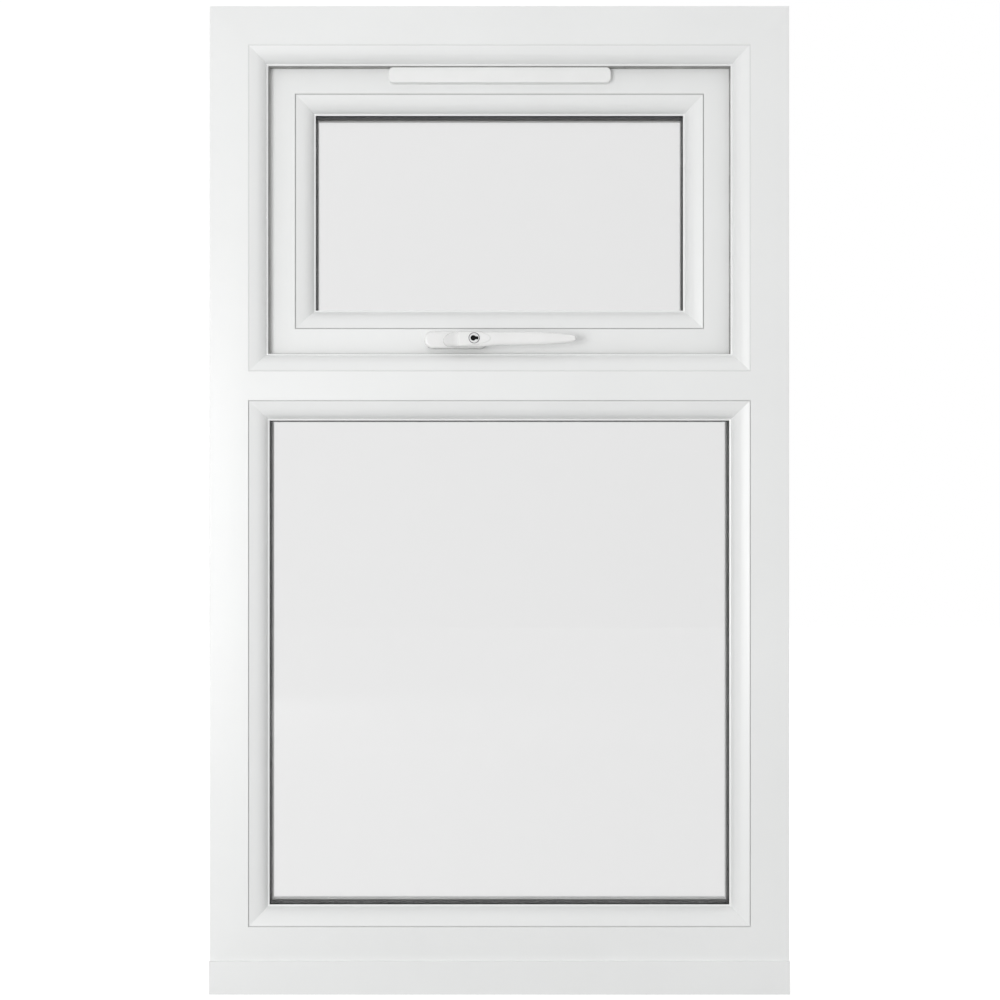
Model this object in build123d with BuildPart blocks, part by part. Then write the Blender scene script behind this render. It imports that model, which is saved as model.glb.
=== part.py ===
from build123d import *
from math import atan2, cos, degrees, hypot, radians, sin
import os

# Top-hung window with a fixed light below it, on a cill. Sizes are in millimetres.
# X runs along the width, from the middle. Z runs up from the underside of the cill.
# Y runs outwards, from the inner face of the frame towards the weather side.

# Overall
window_width = 610.0
window_height = 1040.0
cill_height = 30.0
opener_height = 344.1

# Frame members
frame_depth = 70.0
frame_face = 40.5
transom_face = 30.3
outer_wall = 2.8
web = 1.6
web_near_share = 0.23
web_far_share = 0.76
edge_radius = 0.6

# Drainage slots in the sill and the transom
drain_length = 28.0
drain_height = 5.0
drain_setback = 62.0
drain_drop = 12.0

# Ovolo moulding, shared by the frame upstand and the glazing beads
facet_run = 9.5
facet_drop = 3.0
curve_drop = 10.4
nib_run = 1.7
nib_drop = 0.5
quirk = 0.8
joint_width = 0.8
joint_depth = 1.6
facet_bulge_share = (0.52, 0.42)
curve_bulge_share = (0.60, 0.40)

# Upstand round the opener
upstand_height = 19.5
upstand_depth = 21.5

# Sash
sash_recess = 25.0
sash_depth = 66.0
hardware_gap = 12.0
sash_face = 34.7
flange_overlap = 7.0
flange_gap = 4.5
groove_width = 16.4
groove_depth = 5.0
groove_middle = 38.0

# Glazing
bead_width = 20.9
bead_depth = 15.0
bead_wall = 1.5
inner_gasket_thickness = 1.0
pane_thickness = 4.0
spacer_thickness = 20.0
outer_gasket_thickness = 3.0
glass_clearance = 6.0
spacer_height = 8.0
spacer_wall = 0.8
gasket_height = 7.0
upstand_seal_setback = 2.0
upstand_seal_width = 8.0
weather_seal_setback = 1.0
weather_seal_width = 4.5
lip_bevel = 10.0
packer_width = 26.0
packer_length = 60.0
edge_packer_shares = (0.25, 0.75)
side_packer_shares = (0.22, 0.78)

# Cill
cill_depth = 150.0
cill_lip = 3.0
cill_lip_rise = 5.0
cill_nose = 13.0
cill_nose_round = 1.5
cill_wall = 2.2
cill_flat = 4.0
cill_web_shares = (0.30, 0.66)
cill_slope_web = 30.0
drip_width = 5.0
drip_depth = 2.4
drip_setback = 10.0
cap_flange = 0.5
cap_plate = 2.5
cap_plug = 8.0

# Clearance between pieces that move on each other
gap = 0.3
running = 0.05

# How far a cut runs past the faces it opens
overcut = 1.0

# Friction stays
link_length = 55.0
link_lean = 5.0
stay_pitch = 75.0
stay_top = 11.5
opening_angle = 45.0
track_width = 16.0
track_depth = 4.5
track_wall = 1.2
track_lip = 2.4
track_lip_thickness = 1.0
track_end = 22.0
track_screw_above_slider = 10.0
track_screw_below_link = 20.0
arm_thickness = 2.4
arm_width = 14.0
bar_thickness = 2.4
bar_width = 20.0
bar_length = 190.0
bar_screw_steps = (30.0, 62.0)
bar_screw_inset = 9.0
pivot_radius = 2.5
pivot_head_radius = 4.0
pivot_head = 0.7
boss_radius = 6.5
open_pivot_gap = 0.25
slider_length = 26.0
slider_corner = 1.5
slider_neck_inset = 3.0

# Screws
screw_radius = 1.6
screw_head_radius = 3.2
screw_head = 1.5
screw_length = 9.0

# Handle
handle_x = -47.4
handle_rise = 22.6
base_left = -80.0
base_shoulder = -19.0
base_tip = -3.0
base_width = 18.5
base_height = 10.0
base_round = 3.0
base_tip_round = 6.0
lever_middle = 28.0
lever_thickness = 10.0
tip_start = 77.6
lever_back = -59.2
hub_width = 15.6
taper_width = 11.0
taper_x = 53.0
tip_radius = 3.6
neck_radius = 7.0
spindle_size = 7.0
lock_x = -26.5
lock_radius = 5.5
lock_depth = 9.0
lock_proud = 0.9
lock_pad_back = -44.0
lock_pad_tip = -10.5
lock_pad_width = 13.0
lock_pad_rise = 0.4
keyhole_length = 8.6
keyhole_width = 2.8
keyhole_radius = 2.7
keyhole_depth = 4.0
lever_round = 3.4
spindle_socket = 20.0
handle_screw_radius = 2.5
handle_screw_head_radius = 4.4
handle_screw_head = 2.8
handle_screw_sink = 4.8
handle_cover_wall = 1.6
handle_screw_bite = 4.5
handle_screw_spacing = 43.0

# Locking gear
faceplate_overrun = 60.0
faceplate_thickness = 1.8
faceplate_screw_inset = 7.0
rod_width = 10.0
rod_thickness = 2.0
rod_travel = 18.0
rod_overrun = 20.0
cam_radius = 4.0
cam_drop = 8.0
cam_neck_radius = 2.6
cam_head = 3.0
cam_spacing = 300.0
gearbox_length = 56.0
gearbox_height = 29.7
gearbox_width = 15.6
gearbox_corner = 5.0
follower_radius = 7.0
follower_width = 8.0
keep_length = 42.0
keep_width = 17.0
keep_thickness = 1.6
keep_rise = 8.6
keep_lip = 2.0
keep_lip_length = 14.0
keep_play = 0.6
keep_end = 4.0
keep_screw_inset = 6.0

# Trickle vent
vent_left = -117.7
vent_length = 236.1
vent_drop = 24.9
vent_height = 16.9
vent_base_depth = 4.0
vent_depth = 9.0
vent_corner = 5.5
flap_round = 2.0
flap_recess_rise = 3.2
flap_edge_round = 1.4
vent_screw_inset = 7.0
slot_length = 96.0
slot_height = 9.0
slot_bridge = 16.0
vent_lug_width = 4.0
vent_lug_inset = 14.0
vent_pin_radius = 1.0
vent_pin_reach = 2.5
canopy_depth = 13.0
canopy_height = 24.0
canopy_fall = 5.0
canopy_wall = 1.6
canopy_round = 1.2

# Places worked out from the driving sizes
half_width = window_width / 2
opener_half = half_width - frame_face
opener_high = window_height - frame_face
opener_low = opener_high - opener_height
fixed_high = opener_low - transom_face
fixed_low = cill_height + frame_face
flange_half = opener_half + flange_overlap
flange_low = opener_low - flange_overlap
flange_high = opener_high + flange_overlap
flange_run = flange_overlap + hardware_gap
sash_outer = sash_recess + sash_depth
flange_inner = frame_depth + flange_gap - sash_recess
rebate_run = flange_run + sash_face
sash_half = opener_half - hardware_gap
sash_low = opener_low + hardware_gap
sash_high = opener_high - hardware_gap
handle_z = sash_low + handle_rise
vent_low = sash_high - vent_drop
faceplate_length = cam_spacing + 2 * faceplate_overrun
rod_length = cam_spacing + 2 * rod_overrun
unit_thickness = 2 * pane_thickness + spacer_thickness
glass_inner = bead_depth + inner_gasket_thickness
glass_outer = glass_inner + unit_thickness
lip_inner = glass_outer + outer_gasket_thickness
glazing_half = sash_half - sash_face
glazing_low = sash_low + sash_face
glazing_high = sash_high - sash_face

os.makedirs("parts", exist_ok=True)


def save(builder, label):
    builder.part.label = label
    export_step(builder.part, f"parts/{label}.step")


# Each ring of four sides runs clockwise as seen from the room: left, top, right, bottom.
def ring_sides(half, low, high, depth=0.0):
    corners = [(-half, low), (-half, high), (half, high), (half, low)]
    along = [Vector(0, 0, 1), Vector(1, 0, 0), Vector(0, 0, -1), Vector(-1, 0, 0)]
    sides = {}
    for number, name in enumerate(("left", "top", "right", "bottom")):
        x, z = corners[number]
        next_x, next_z = corners[(number + 1) % 4]
        length = hypot(next_x - x, next_z - z)
        start = Vector(x, depth, z)
        sides[name] = (start, along[number], along[(number + 1) % 4], length)
    return sides


def mitred_bar(section, side):
    start, along, inward, length = side
    end = start + along * length
    with BuildPart() as bar:
        with BuildSketch(Plane(origin=start, x_dir=inward, z_dir=along)):
            add(section)
        extrude(amount=length)
        split(bisect_by=Plane(origin=start, z_dir=along - inward), keep=Keep.TOP)
        split(bisect_by=Plane(origin=end, z_dir=-along - inward), keep=Keep.TOP)
    return bar.part


def square_bar(section, side):
    start, along, inward, length = side
    with BuildPart() as bar:
        with BuildSketch(Plane(origin=start, x_dir=inward, z_dir=along)):
            add(section)
        extrude(amount=length)
    return bar.part


# A rectangle in a section, given by its near and far corners.
def chamber(low_run, low_depth, high_run, high_depth, mode=Mode.SUBTRACT):
    with Locations(((low_run + high_run) / 2, (low_depth + high_depth) / 2)):
        Rectangle(high_run - low_run, high_depth - low_depth, mode=mode)


# Section of a flat frame member: x is the run from its outer edge and y is the depth.
def member_section(face, open_edge):
    web_near = frame_depth * web_near_share
    web_far = frame_depth * web_far_share
    with BuildSketch() as section:
        chamber(0, 0, face, frame_depth, mode=Mode.ADD)
        if open_edge:
            outer_corners = section.vertices().group_by(Axis.X)[0]
            fillet(outer_corners, radius=edge_radius)
        chamber(outer_wall, outer_wall, face - outer_wall, web_near)
        chamber(outer_wall, web_near + web, face - outer_wall, web_far)
        chamber(outer_wall, web_far + web, face - outer_wall, frame_depth - outer_wall)
    return section.sketch


# The moulded face from the joint to the sight line, drawn from where it starts.
def ovolo_line(start, width):
    facet_end = (facet_run, facet_drop)
    curve_end = (width - nib_run, facet_drop + curve_drop)
    nib_end = (width, facet_drop + curve_drop + nib_drop)
    facet_middle = (
        facet_run * facet_bulge_share[0],
        start[1] + (facet_drop - start[1]) * facet_bulge_share[1],
    )
    curve_middle = (
        facet_run + (curve_end[0] - facet_run) * curve_bulge_share[0],
        facet_drop + curve_drop * curve_bulge_share[1],
    )
    ThreePointArc(start, facet_middle, facet_end)
    ThreePointArc(facet_end, curve_middle, curve_end)
    Line(curve_end, nib_end)
    return nib_end


def upstand_section():
    with BuildSketch() as section:
        with BuildLine():
            Polyline((0, 0), (quirk / 2, quirk / 2), (quirk, 0))
            nib_end = ovolo_line((quirk, 0), upstand_height)
            Polyline(nib_end, (upstand_height, upstand_depth), (0, upstand_depth), (0, 0))
        make_face()
        sight_corners = section.vertices().group_by(Axis.X)[-1]
        fillet(sight_corners, radius=edge_radius)
        offset(amount=-outer_wall, mode=Mode.SUBTRACT)
    return section.sketch


# The lip that stands behind the glass on the weather side, with a bevelled outer face.
def lip_section(depth):
    far = lip_inner + depth
    with BuildSketch() as section:
        with BuildLine():
            Polyline(
                (0, lip_inner),
                (bead_width, lip_inner),
                (bead_width, far - lip_bevel),
                (bead_width - lip_bevel, far),
                (0, far),
                close=True,
            )
        make_face()
        fillet(section.vertices().group_by(Axis.X)[-1], radius=edge_radius)
        offset(amount=-outer_wall, mode=Mode.SUBTRACT)
    return section.sketch


# A bead stands back from its frame at the face, which leaves a narrow joint round it.
def bead_section():
    with BuildSketch() as section:
        with BuildLine():
            Polyline((0, joint_depth), (joint_width, joint_depth), (joint_width, 0))
            nib_end = ovolo_line((joint_width, 0), bead_width)
            Polyline(nib_end, (bead_width, bead_depth), (0, bead_depth), (0, joint_depth))
        make_face()
        offset(amount=-bead_wall, mode=Mode.SUBTRACT)
    return section.sketch


# Section of the sash: x is the run from the outer edge of its flange, y the depth from its face.
def sash_section():
    groove_start = groove_middle - groove_width / 2 - sash_recess
    groove_end = groove_start + groove_width
    box_inner = rebate_run - outer_wall
    flange_far = sash_depth - outer_wall
    behind_groove = flange_run + groove_depth + outer_wall
    with BuildSketch() as section:
        chamber(flange_run, 0, rebate_run, sash_depth, mode=Mode.ADD)
        chamber(0, flange_inner, flange_run, sash_depth, mode=Mode.ADD)
        fillet(section.vertices().group_by(Axis.X)[0], radius=edge_radius)
        chamber(flange_run, groove_start, flange_run + groove_depth, groove_end)
        chamber(behind_groove, outer_wall, box_inner, groove_end + outer_wall)
        chamber(
            flange_run + outer_wall,
            groove_end + outer_wall + web,
            box_inner,
            flange_inner,
        )
        chamber(outer_wall, flange_inner + outer_wall, box_inner, flange_far)
    return section.sketch


def bar_section(low_run, low_depth, high_run, high_depth):
    with BuildSketch() as section:
        chamber(low_run, low_depth, high_run, high_depth, mode=Mode.ADD)
    return section.sketch


# A plane on the left rebate floor: its own x is the depth, its y is the height, and it faces inwards.
def left_layer(distance):
    return Plane(origin=(distance - opener_half, 0, 0), x_dir=(0, 1, 0), z_dir=(1, 0, 0))


# A plane that looks at the room, at a given depth: its own x and y are the width and the height.
def room_plane(depth):
    return Plane(origin=(0, depth, 0), x_dir=(1, 0, 0), z_dir=(0, -1, 0))


# A plane that looks outwards: its own x is the width and its y is the height turned downwards.
def outward_plane(depth):
    return Plane(origin=(0, depth, 0), x_dir=(1, 0, 0), z_dir=(0, 1, 0))


def upward_plane(height):
    return Plane(origin=(0, 0, height), x_dir=(1, 0, 0), z_dir=(0, 0, 1))


# Slots near both ends of a member, which let water out through its weather face
def drains(rebate_height):
    shift = opener_half - drain_setback
    height = rebate_height - drain_drop
    with BuildPart() as group:
        with BuildSketch(room_plane(frame_depth)):
            with Locations((-shift, height), (shift, height)):
                SlotOverall(drain_length, drain_height)
        extrude(amount=outer_wall)
    return group.part


# Rings of sides that the members, beads, glass and seals are placed on
frame_ring = ring_sides(half_width, cill_height, window_height)
opener_ring = ring_sides(opener_half, opener_low, opener_high)
fixed_ring = ring_sides(opener_half, fixed_low, fixed_high)
sash_ring = ring_sides(flange_half, flange_low, flange_high, sash_recess)
sash_glazing_ring = ring_sides(glazing_half, glazing_low, glazing_high, sash_recess)

# Frame
flat = member_section(frame_face, True)
upstand = upstand_section()
fixed_lip = lip_section(frame_depth - lip_inner)

frame_head_flat = mitred_bar(flat, frame_ring["top"])
frame_head_upstand = mitred_bar(upstand, opener_ring["top"])
with BuildPart() as frame_head:
    add(frame_head_flat)
    add(frame_head_upstand)
save(frame_head, "frame_head")

frame_jamb_flat = mitred_bar(flat, frame_ring["left"])
frame_jamb_upstand = mitred_bar(upstand, opener_ring["left"])
frame_jamb_lip = mitred_bar(fixed_lip, fixed_ring["left"])

frame_sill_flat = mitred_bar(flat, frame_ring["bottom"])
frame_sill_lip = mitred_bar(fixed_lip, fixed_ring["bottom"])
with BuildPart() as frame_sill:
    add(frame_sill_flat)
    add(frame_sill_lip)
    add(drains(fixed_low), mode=Mode.SUBTRACT)
save(frame_sill, "frame_sill")

transom_side = (
    Vector(-opener_half, 0, opener_low),
    Vector(1, 0, 0),
    Vector(0, 0, -1),
    2 * opener_half,
)
transom_flat = square_bar(member_section(transom_face, False), transom_side)
transom_upstand = mitred_bar(upstand, opener_ring["bottom"])
transom_lip = mitred_bar(fixed_lip, fixed_ring["top"])

# Cill: a hollow extrusion with a lip that covers the foot of the frame and a sloping nose
cill_front = cill_depth - cill_lip
cill_length = window_width + 2 * cap_flange - 2 * cap_plate
slope_start = frame_depth + cill_flat
slope_fall = (cill_height - cill_nose) / (cill_front - slope_start)
drip_end = cill_front - drip_setback


def cill_top(depth):
    return cill_height - max(0.0, depth - slope_start) * slope_fall


def cill_outline():
    with BuildSketch() as section:
        with BuildLine():
            Polyline(
                (-cill_lip, 0),
                (-cill_lip, cill_height + cill_lip_rise),
                (0, cill_height + cill_lip_rise),
                (0, cill_height),
                (slope_start, cill_height),
                (cill_front, cill_nose),
                (cill_front, 0),
                close=True,
            )
        make_face()
        fillet(section.vertices().group_by(Axis.X)[-1], radius=cill_nose_round)
        chamber(drip_end - drip_width, 0, drip_end, drip_depth)
    return section.sketch


def cill_chambers():
    webs = [-cill_lip]
    webs += [frame_depth * share for share in cill_web_shares]
    webs += [slope_start, slope_start + cill_slope_web, drip_end - drip_width]
    with BuildSketch() as section:
        for near, far in zip(webs, webs[1:]):
            start = near + cill_wall
            with BuildLine():
                Polyline(
                    (start, cill_wall),
                    (start, cill_top(start) - cill_wall),
                    (far, cill_top(far) - cill_wall),
                    (far, cill_wall),
                    close=True,
                )
            make_face()
    return section.sketch


cill_plane = Plane(origin=(-cill_length / 2, 0, 0), x_dir=(0, 1, 0), z_dir=(1, 0, 0))
cill_skin = cill_outline()
cill_hollows = cill_chambers()
with BuildPart() as cill:
    with BuildSketch(cill_plane):
        add(cill_skin)
        add(cill_hollows, mode=Mode.SUBTRACT)
    extrude(amount=cill_length)
save(cill, "cill")

# Each cap is a plate on the end of the cill, with plugs that stand in its chambers
cap_plane = Plane(origin=(-cill_length / 2, 0, 0), x_dir=(0, 1, 0), z_dir=(1, 0, 0))
with BuildPart() as cill_end_cap_left:
    with BuildSketch(cap_plane):
        add(cill_skin)
    extrude(amount=-cap_plate)
    with BuildSketch(cap_plane):
        add(cill_hollows)
        offset(amount=-gap, mode=Mode.REPLACE)
    extrude(amount=cap_plug)
save(cill_end_cap_left, "cill_end_cap_left")
with BuildPart() as cill_end_cap_right:
    mirror(cill_end_cap_left.part, about=Plane.YZ)
save(cill_end_cap_right, "cill_end_cap_right")

# Places on the friction stays, as depth and height
track_middle = groove_middle - link_length * sin(radians(link_lean))
link_top = (groove_middle, opener_high - stay_top)
link_foot = (track_middle, link_top[1] - link_length * cos(radians(link_lean)))
arm_top = (groove_middle, link_top[1] - stay_pitch)
arm_foot = (track_middle, link_foot[1] - 2 * stay_pitch)
arm_layer = track_depth + gap + pivot_head + gap
boss_layer = arm_layer + arm_thickness + gap
bar_layer = hardware_gap - bar_thickness
slider_rise = 2 * stay_pitch * (1 - cos(radians(opening_angle)))
track_low = arm_foot[1] - slider_length / 2 - track_end
track_high = link_foot[1] + arm_width
track_screws = [
    track_low + track_end / 2,
    arm_foot[1] + slider_rise + slider_length / 2 + track_screw_above_slider,
    link_foot[1] - track_screw_below_link,
]
track_places = [(track_middle, height) for height in track_screws]
bar_low = link_top[1] - bar_length
bar_screws = [arm_top[1] - step for step in bar_screw_steps]
bar_screws += [bar_low + bar_screw_inset]
bar_places = [(groove_middle, height) for height in bar_screws]


# Frame jambs, with pilot holes for the track screws
with BuildPart() as frame_jamb_left:
    add(frame_jamb_flat)
    add(frame_jamb_upstand)
    add(frame_jamb_lip)
    with BuildSketch(left_layer(0)):
        with Locations(*track_places):
            Circle(screw_radius)
    extrude(amount=-outer_wall, mode=Mode.SUBTRACT)
save(frame_jamb_left, "frame_jamb_left")
with BuildPart() as frame_jamb_right:
    mirror(frame_jamb_left.part, about=Plane.YZ)
save(frame_jamb_right, "frame_jamb_right")

# Locking points along the transom
cam_places = (-cam_spacing / 2, cam_spacing / 2)
keep_lip_ends = [place - cam_radius - gap for place in cam_places]
keep_starts = [lip_end - keep_lip_length - keep_end for lip_end in keep_lip_ends]
keep_screw_places = []
for keep_start in keep_starts:
    keep_screw_places += [keep_start + keep_screw_inset]
    keep_screw_places += [keep_start + keep_length - keep_screw_inset]

with BuildPart() as transom:
    add(transom_flat)
    add(transom_upstand)
    add(transom_lip)
    add(drains(opener_low), mode=Mode.SUBTRACT)
    with BuildSketch(upward_plane(opener_low)):
        with Locations(*[(place, groove_middle) for place in keep_screw_places]):
            Circle(screw_radius)
    extrude(amount=-outer_wall, mode=Mode.SUBTRACT)
save(transom, "transom")


# A closed ring of mitred bars, joined at its corners
def mitred_ring(section, sides):
    bars = [mitred_bar(section, side) for side in sides.values()]
    with BuildPart() as ring:
        for bar in bars:
            add(bar)
    return ring


def pane(half, low, high, near):
    with BuildPart() as glass:
        with BuildSketch(room_plane(near)):
            with Locations((0, (low + high) / 2)):
                Rectangle(2 * half, high - low)
        extrude(amount=-pane_thickness)
    return glass


# Packers between the edge of the sealed unit and the frame round it
def packers(half, low, high, depth):
    near = depth + (glass_inner + glass_outer - packer_width) / 2
    across = glass_clearance / 2
    edge_places = []
    for share in edge_packer_shares:
        along = (2 * share - 1) * half
        edge_places += [(along, low + across), (along, high - across)]
    side_places = []
    for share in side_packer_shares:
        height = low + share * (high - low)
        side_places += [(-half + across, height), (half - across, height)]
    with BuildPart() as group:
        with BuildSketch(room_plane(near)):
            with Locations(*edge_places):
                Rectangle(packer_length, glass_clearance)
            with Locations(*side_places):
                Rectangle(glass_clearance, packer_length)
        extrude(amount=-packer_width)
    return group


# Beads, sealed unit and seals of one light, named after it
def glaze(light, half, low, high, depth):
    sides = ring_sides(half, low, high, depth)
    bead = bead_section()
    for name, side in sides.items():
        with BuildPart() as glazing_bead:
            add(mitred_bar(bead, side))
        save(glazing_bead, f"{light}_bead_{name}")
    seal_start = bead_width - spacer_height
    spacer_near = glass_inner + pane_thickness
    spacer_far = spacer_near + spacer_thickness
    with BuildSketch() as spacer_section:
        chamber(glass_clearance, spacer_near, bead_width, spacer_far, mode=Mode.ADD)
        chamber(
            seal_start + spacer_wall,
            spacer_near + spacer_wall,
            bead_width - spacer_wall,
            spacer_far - spacer_wall,
        )
    gasket_start = bead_width - gasket_height
    inner_gasket = bar_section(gasket_start, bead_depth, bead_width, glass_inner)
    outer_gasket = bar_section(gasket_start, glass_outer, bead_width, lip_inner)
    save(mitred_ring(spacer_section.sketch, sides), f"{light}_edge_spacer")
    save(mitred_ring(inner_gasket, sides), f"{light}_inner_gasket")
    save(mitred_ring(outer_gasket, sides), f"{light}_outer_gasket")
    glass_half = half - glass_clearance
    glass_low = low + glass_clearance
    glass_high = high - glass_clearance
    save(pane(glass_half, glass_low, glass_high, depth + glass_inner), f"{light}_inner_pane")
    save(pane(glass_half, glass_low, glass_high, depth + spacer_far), f"{light}_outer_pane")
    save(packers(half, low, high, depth), f"{light}_packers")


glaze("fixed", opener_half, fixed_low, fixed_high, 0.0)
glaze("sash", glazing_half, glazing_low, glazing_high, sash_recess)

# Seal on the back of the upstand, which meets the inner face of the closed sash
upstand_seal_section = bar_section(
    upstand_height - upstand_seal_setback - upstand_seal_width,
    upstand_depth,
    upstand_height - upstand_seal_setback,
    sash_recess - gap,
)
save(mitred_ring(upstand_seal_section, opener_ring), "upstand_seal")

# Weather seal on the flange of the sash, which meets the outer face of the frame
weather_seal_section = bar_section(
    weather_seal_setback,
    flange_inner - flange_gap + gap,
    weather_seal_setback + weather_seal_width,
    flange_inner,
)
save(mitred_ring(weather_seal_section, sash_ring), "weather_seal")

# Sash members
sash_flat = sash_section()
sash_lip = lip_section(sash_depth - lip_inner)
sash_bars = {}
for name in sash_ring:
    outer_bar = mitred_bar(sash_flat, sash_ring[name])
    lip_bar = mitred_bar(sash_lip, sash_glazing_ring[name])
    with BuildPart() as sash_member:
        add(outer_bar)
        add(lip_bar)
    sash_bars[name] = sash_member.part

groove_floor = hardware_gap + groove_depth
with BuildPart() as sash_stile_left:
    add(sash_bars["left"])
    with BuildSketch(left_layer(groove_floor)):
        with Locations(*bar_places):
            Circle(screw_radius)
    extrude(amount=outer_wall, mode=Mode.SUBTRACT)
save(sash_stile_left, "sash_stile_left")
with BuildPart() as sash_stile_right:
    mirror(sash_stile_left.part, about=Plane.YZ)
save(sash_stile_right, "sash_stile_right")


# Round pieces of one radius, standing on a plane at each place
def discs(plane, places, radius, height):
    with BuildPart() as group:
        with BuildSketch(plane):
            with Locations(*places):
                Circle(radius)
        extrude(amount=height)
    return group.part


# Countersunk screws whose heads lie flush in the plane and which point along it
def sunk_screws(plane, places, length):
    slope = degrees(atan2(screw_head_radius - screw_radius, screw_head))
    with BuildPart() as group:
        with BuildSketch(plane):
            with Locations(*places):
                Circle(screw_head_radius)
        extrude(amount=screw_head, taper=slope)
        add(discs(plane, places, screw_radius, length))
    return group.part


# A block with a rectangular face, standing on a plane
def block(plane, low, high, height):
    with BuildPart() as piece:
        with BuildSketch(plane):
            chamber(low[0], low[1], high[0], high[1], mode=Mode.ADD)
        extrude(amount=height)
    return piece.part


def save_pair(builder, label):
    save(builder, f"{label}_left")
    with BuildPart() as other:
        mirror(builder.part, about=Plane.YZ)
    save(other, f"{label}_right")


# Friction stays: the left one is made and then mirrored
track_inner = track_width - 2 * track_wall
track_mouth = track_inner - 2 * track_lip
track_floor = left_layer(track_wall)
lip_layer = track_depth - track_lip_thickness
with BuildPart() as stay_track:
    with BuildSketch(Plane(origin=(-opener_half, track_middle, track_low), x_dir=(1, 0, 0))):
        chamber(0, -track_width / 2, track_depth, track_width / 2, mode=Mode.ADD)
        chamber(track_wall, -track_inner / 2, lip_layer, track_inner / 2)
        chamber(lip_layer, -track_mouth / 2, track_depth, track_mouth / 2)
    extrude(amount=track_high - track_low)
    add(discs(left_layer(0), track_places, screw_radius, track_wall), mode=Mode.SUBTRACT)
save_pair(stay_track, "stay_track")

# Screws that hold the tracks and the keeps to the frame
keep_places = [(place, groove_middle) for place in keep_screw_places]
keep_top = upward_plane(opener_low + keep_thickness)
with BuildPart() as frame_screws:
    add(discs(track_floor, track_places, screw_head_radius, screw_head))
    add(discs(track_floor, track_places, screw_radius, -screw_length))
    mirror(about=Plane.YZ)
    add(discs(keep_top, keep_places, screw_head_radius, screw_head))
    add(discs(keep_top, keep_places, screw_radius, -screw_length))
save(frame_screws, "frame_screws")

with BuildPart() as track_rivets:
    add(discs(track_floor, [link_foot], pivot_head_radius, arm_layer - gap - track_wall))
    add(discs(left_layer(arm_layer - gap), [link_foot], pivot_radius, arm_thickness + 2 * gap))
    add(discs(left_layer(boss_layer), [link_foot], pivot_head_radius, pivot_head))
    mirror(about=Plane.YZ)
save(track_rivets, "track_rivets")

sash_pins = [link_top, arm_top]
with BuildPart() as sash_rivets:
    head_layer = arm_layer - gap - pivot_head
    add(discs(left_layer(head_layer), sash_pins, pivot_head_radius, pivot_head))
    add(discs(left_layer(head_layer), sash_pins, pivot_radius, hardware_gap - head_layer))
    mirror(about=Plane.YZ)
save(sash_rivets, "sash_rivets")

with BuildPart() as sash_bar:
    with BuildSketch(left_layer(bar_layer)):
        with Locations(link_top):
            Circle(bar_width / 2)
        with Locations((groove_middle, (link_top[1] + bar_low) / 2)):
            Rectangle(bar_width, bar_length)
    extrude(amount=bar_thickness)
    fillet(sash_bar.edges().filter_by(Axis.X).group_by(Axis.Z)[0], radius=bar_width / 4)
    add(discs(left_layer(boss_layer), sash_pins, boss_radius, bar_layer - boss_layer))
    add(
        discs(left_layer(boss_layer), sash_pins, pivot_radius, hardware_gap - boss_layer),
        mode=Mode.SUBTRACT,
    )
    add(sunk_screws(left_layer(bar_layer), bar_places, screw_length), mode=Mode.SUBTRACT)
save_pair(sash_bar, "stay_sash_bar")


# A flat link between two pins, with a round hole for each
def link_plate(foot, top, foot_hole, top_hole):
    run = top[0] - foot[0]
    rise = top[1] - foot[1]
    middle = ((top[0] + foot[0]) / 2, (top[1] + foot[1]) / 2)
    with BuildPart() as plate:
        with BuildSketch(left_layer(arm_layer)):
            with Locations(middle):
                SlotCenterToCenter(hypot(run, rise), arm_width, rotation=degrees(atan2(rise, run)))
            with Locations(foot):
                Circle(foot_hole, mode=Mode.SUBTRACT)
            with Locations(top):
                Circle(top_hole, mode=Mode.SUBTRACT)
        extrude(amount=arm_thickness)
    return plate


pin_hole = pivot_radius + running
stay_link_left = link_plate(link_foot, link_top, pin_hole, pin_hole)
save(stay_link_left, "stay_link_left")
open_link = link_plate(link_foot, link_top, pin_hole, pivot_radius + open_pivot_gap)
with BuildPart() as stay_link_right:
    mirror(open_link.part, about=Plane.YZ)
save(stay_link_right, "stay_link_right")
stay_arm = link_plate(arm_foot, arm_top, pin_hole, pin_hole)
save_pair(stay_arm, "stay_arm")

slider_neck = track_mouth - 2 * gap
with BuildPart() as stay_slider:
    with BuildSketch(left_layer(track_wall + gap)):
        with Locations(arm_foot):
            RectangleRounded(track_inner - 2 * gap, slider_length, slider_corner)
    extrude(amount=lip_layer - track_wall - 2 * gap)
    with BuildSketch(left_layer(lip_layer - gap)):
        with Locations(arm_foot):
            SlotOverall(slider_length - 2 * slider_neck_inset, slider_neck, rotation=90)
    extrude(amount=arm_layer - lip_layer)
    add(discs(left_layer(arm_layer - gap), [arm_foot], pivot_radius, arm_thickness + 2 * gap))
    add(discs(left_layer(boss_layer), [arm_foot], pivot_head_radius, pivot_head))
save_pair(stay_slider, "stay_slider")

# Trickle vent: slots through the top rail, a base, a flap and an outside canopy
vent_middle = vent_left + vent_length / 2
vent_slot_height = vent_low + vent_height / 2
slot_shift = (slot_length + slot_bridge) / 2
slot_places = [
    (vent_middle - slot_shift, vent_slot_height),
    (vent_middle + slot_shift, vent_slot_height),
]
vent_screw_shift = vent_length / 2 - vent_screw_inset
vent_screw_places = [
    (vent_middle + shift, vent_slot_height) for shift in (-vent_screw_shift, 0, vent_screw_shift)
]
flap_axis_depth = sash_recess - vent_base_depth - gap - flap_round
flap_axis_height = vent_low + flap_round
lug_places = [
    vent_left + vent_lug_inset,
    vent_left + vent_length - vent_lug_inset,
]


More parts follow.
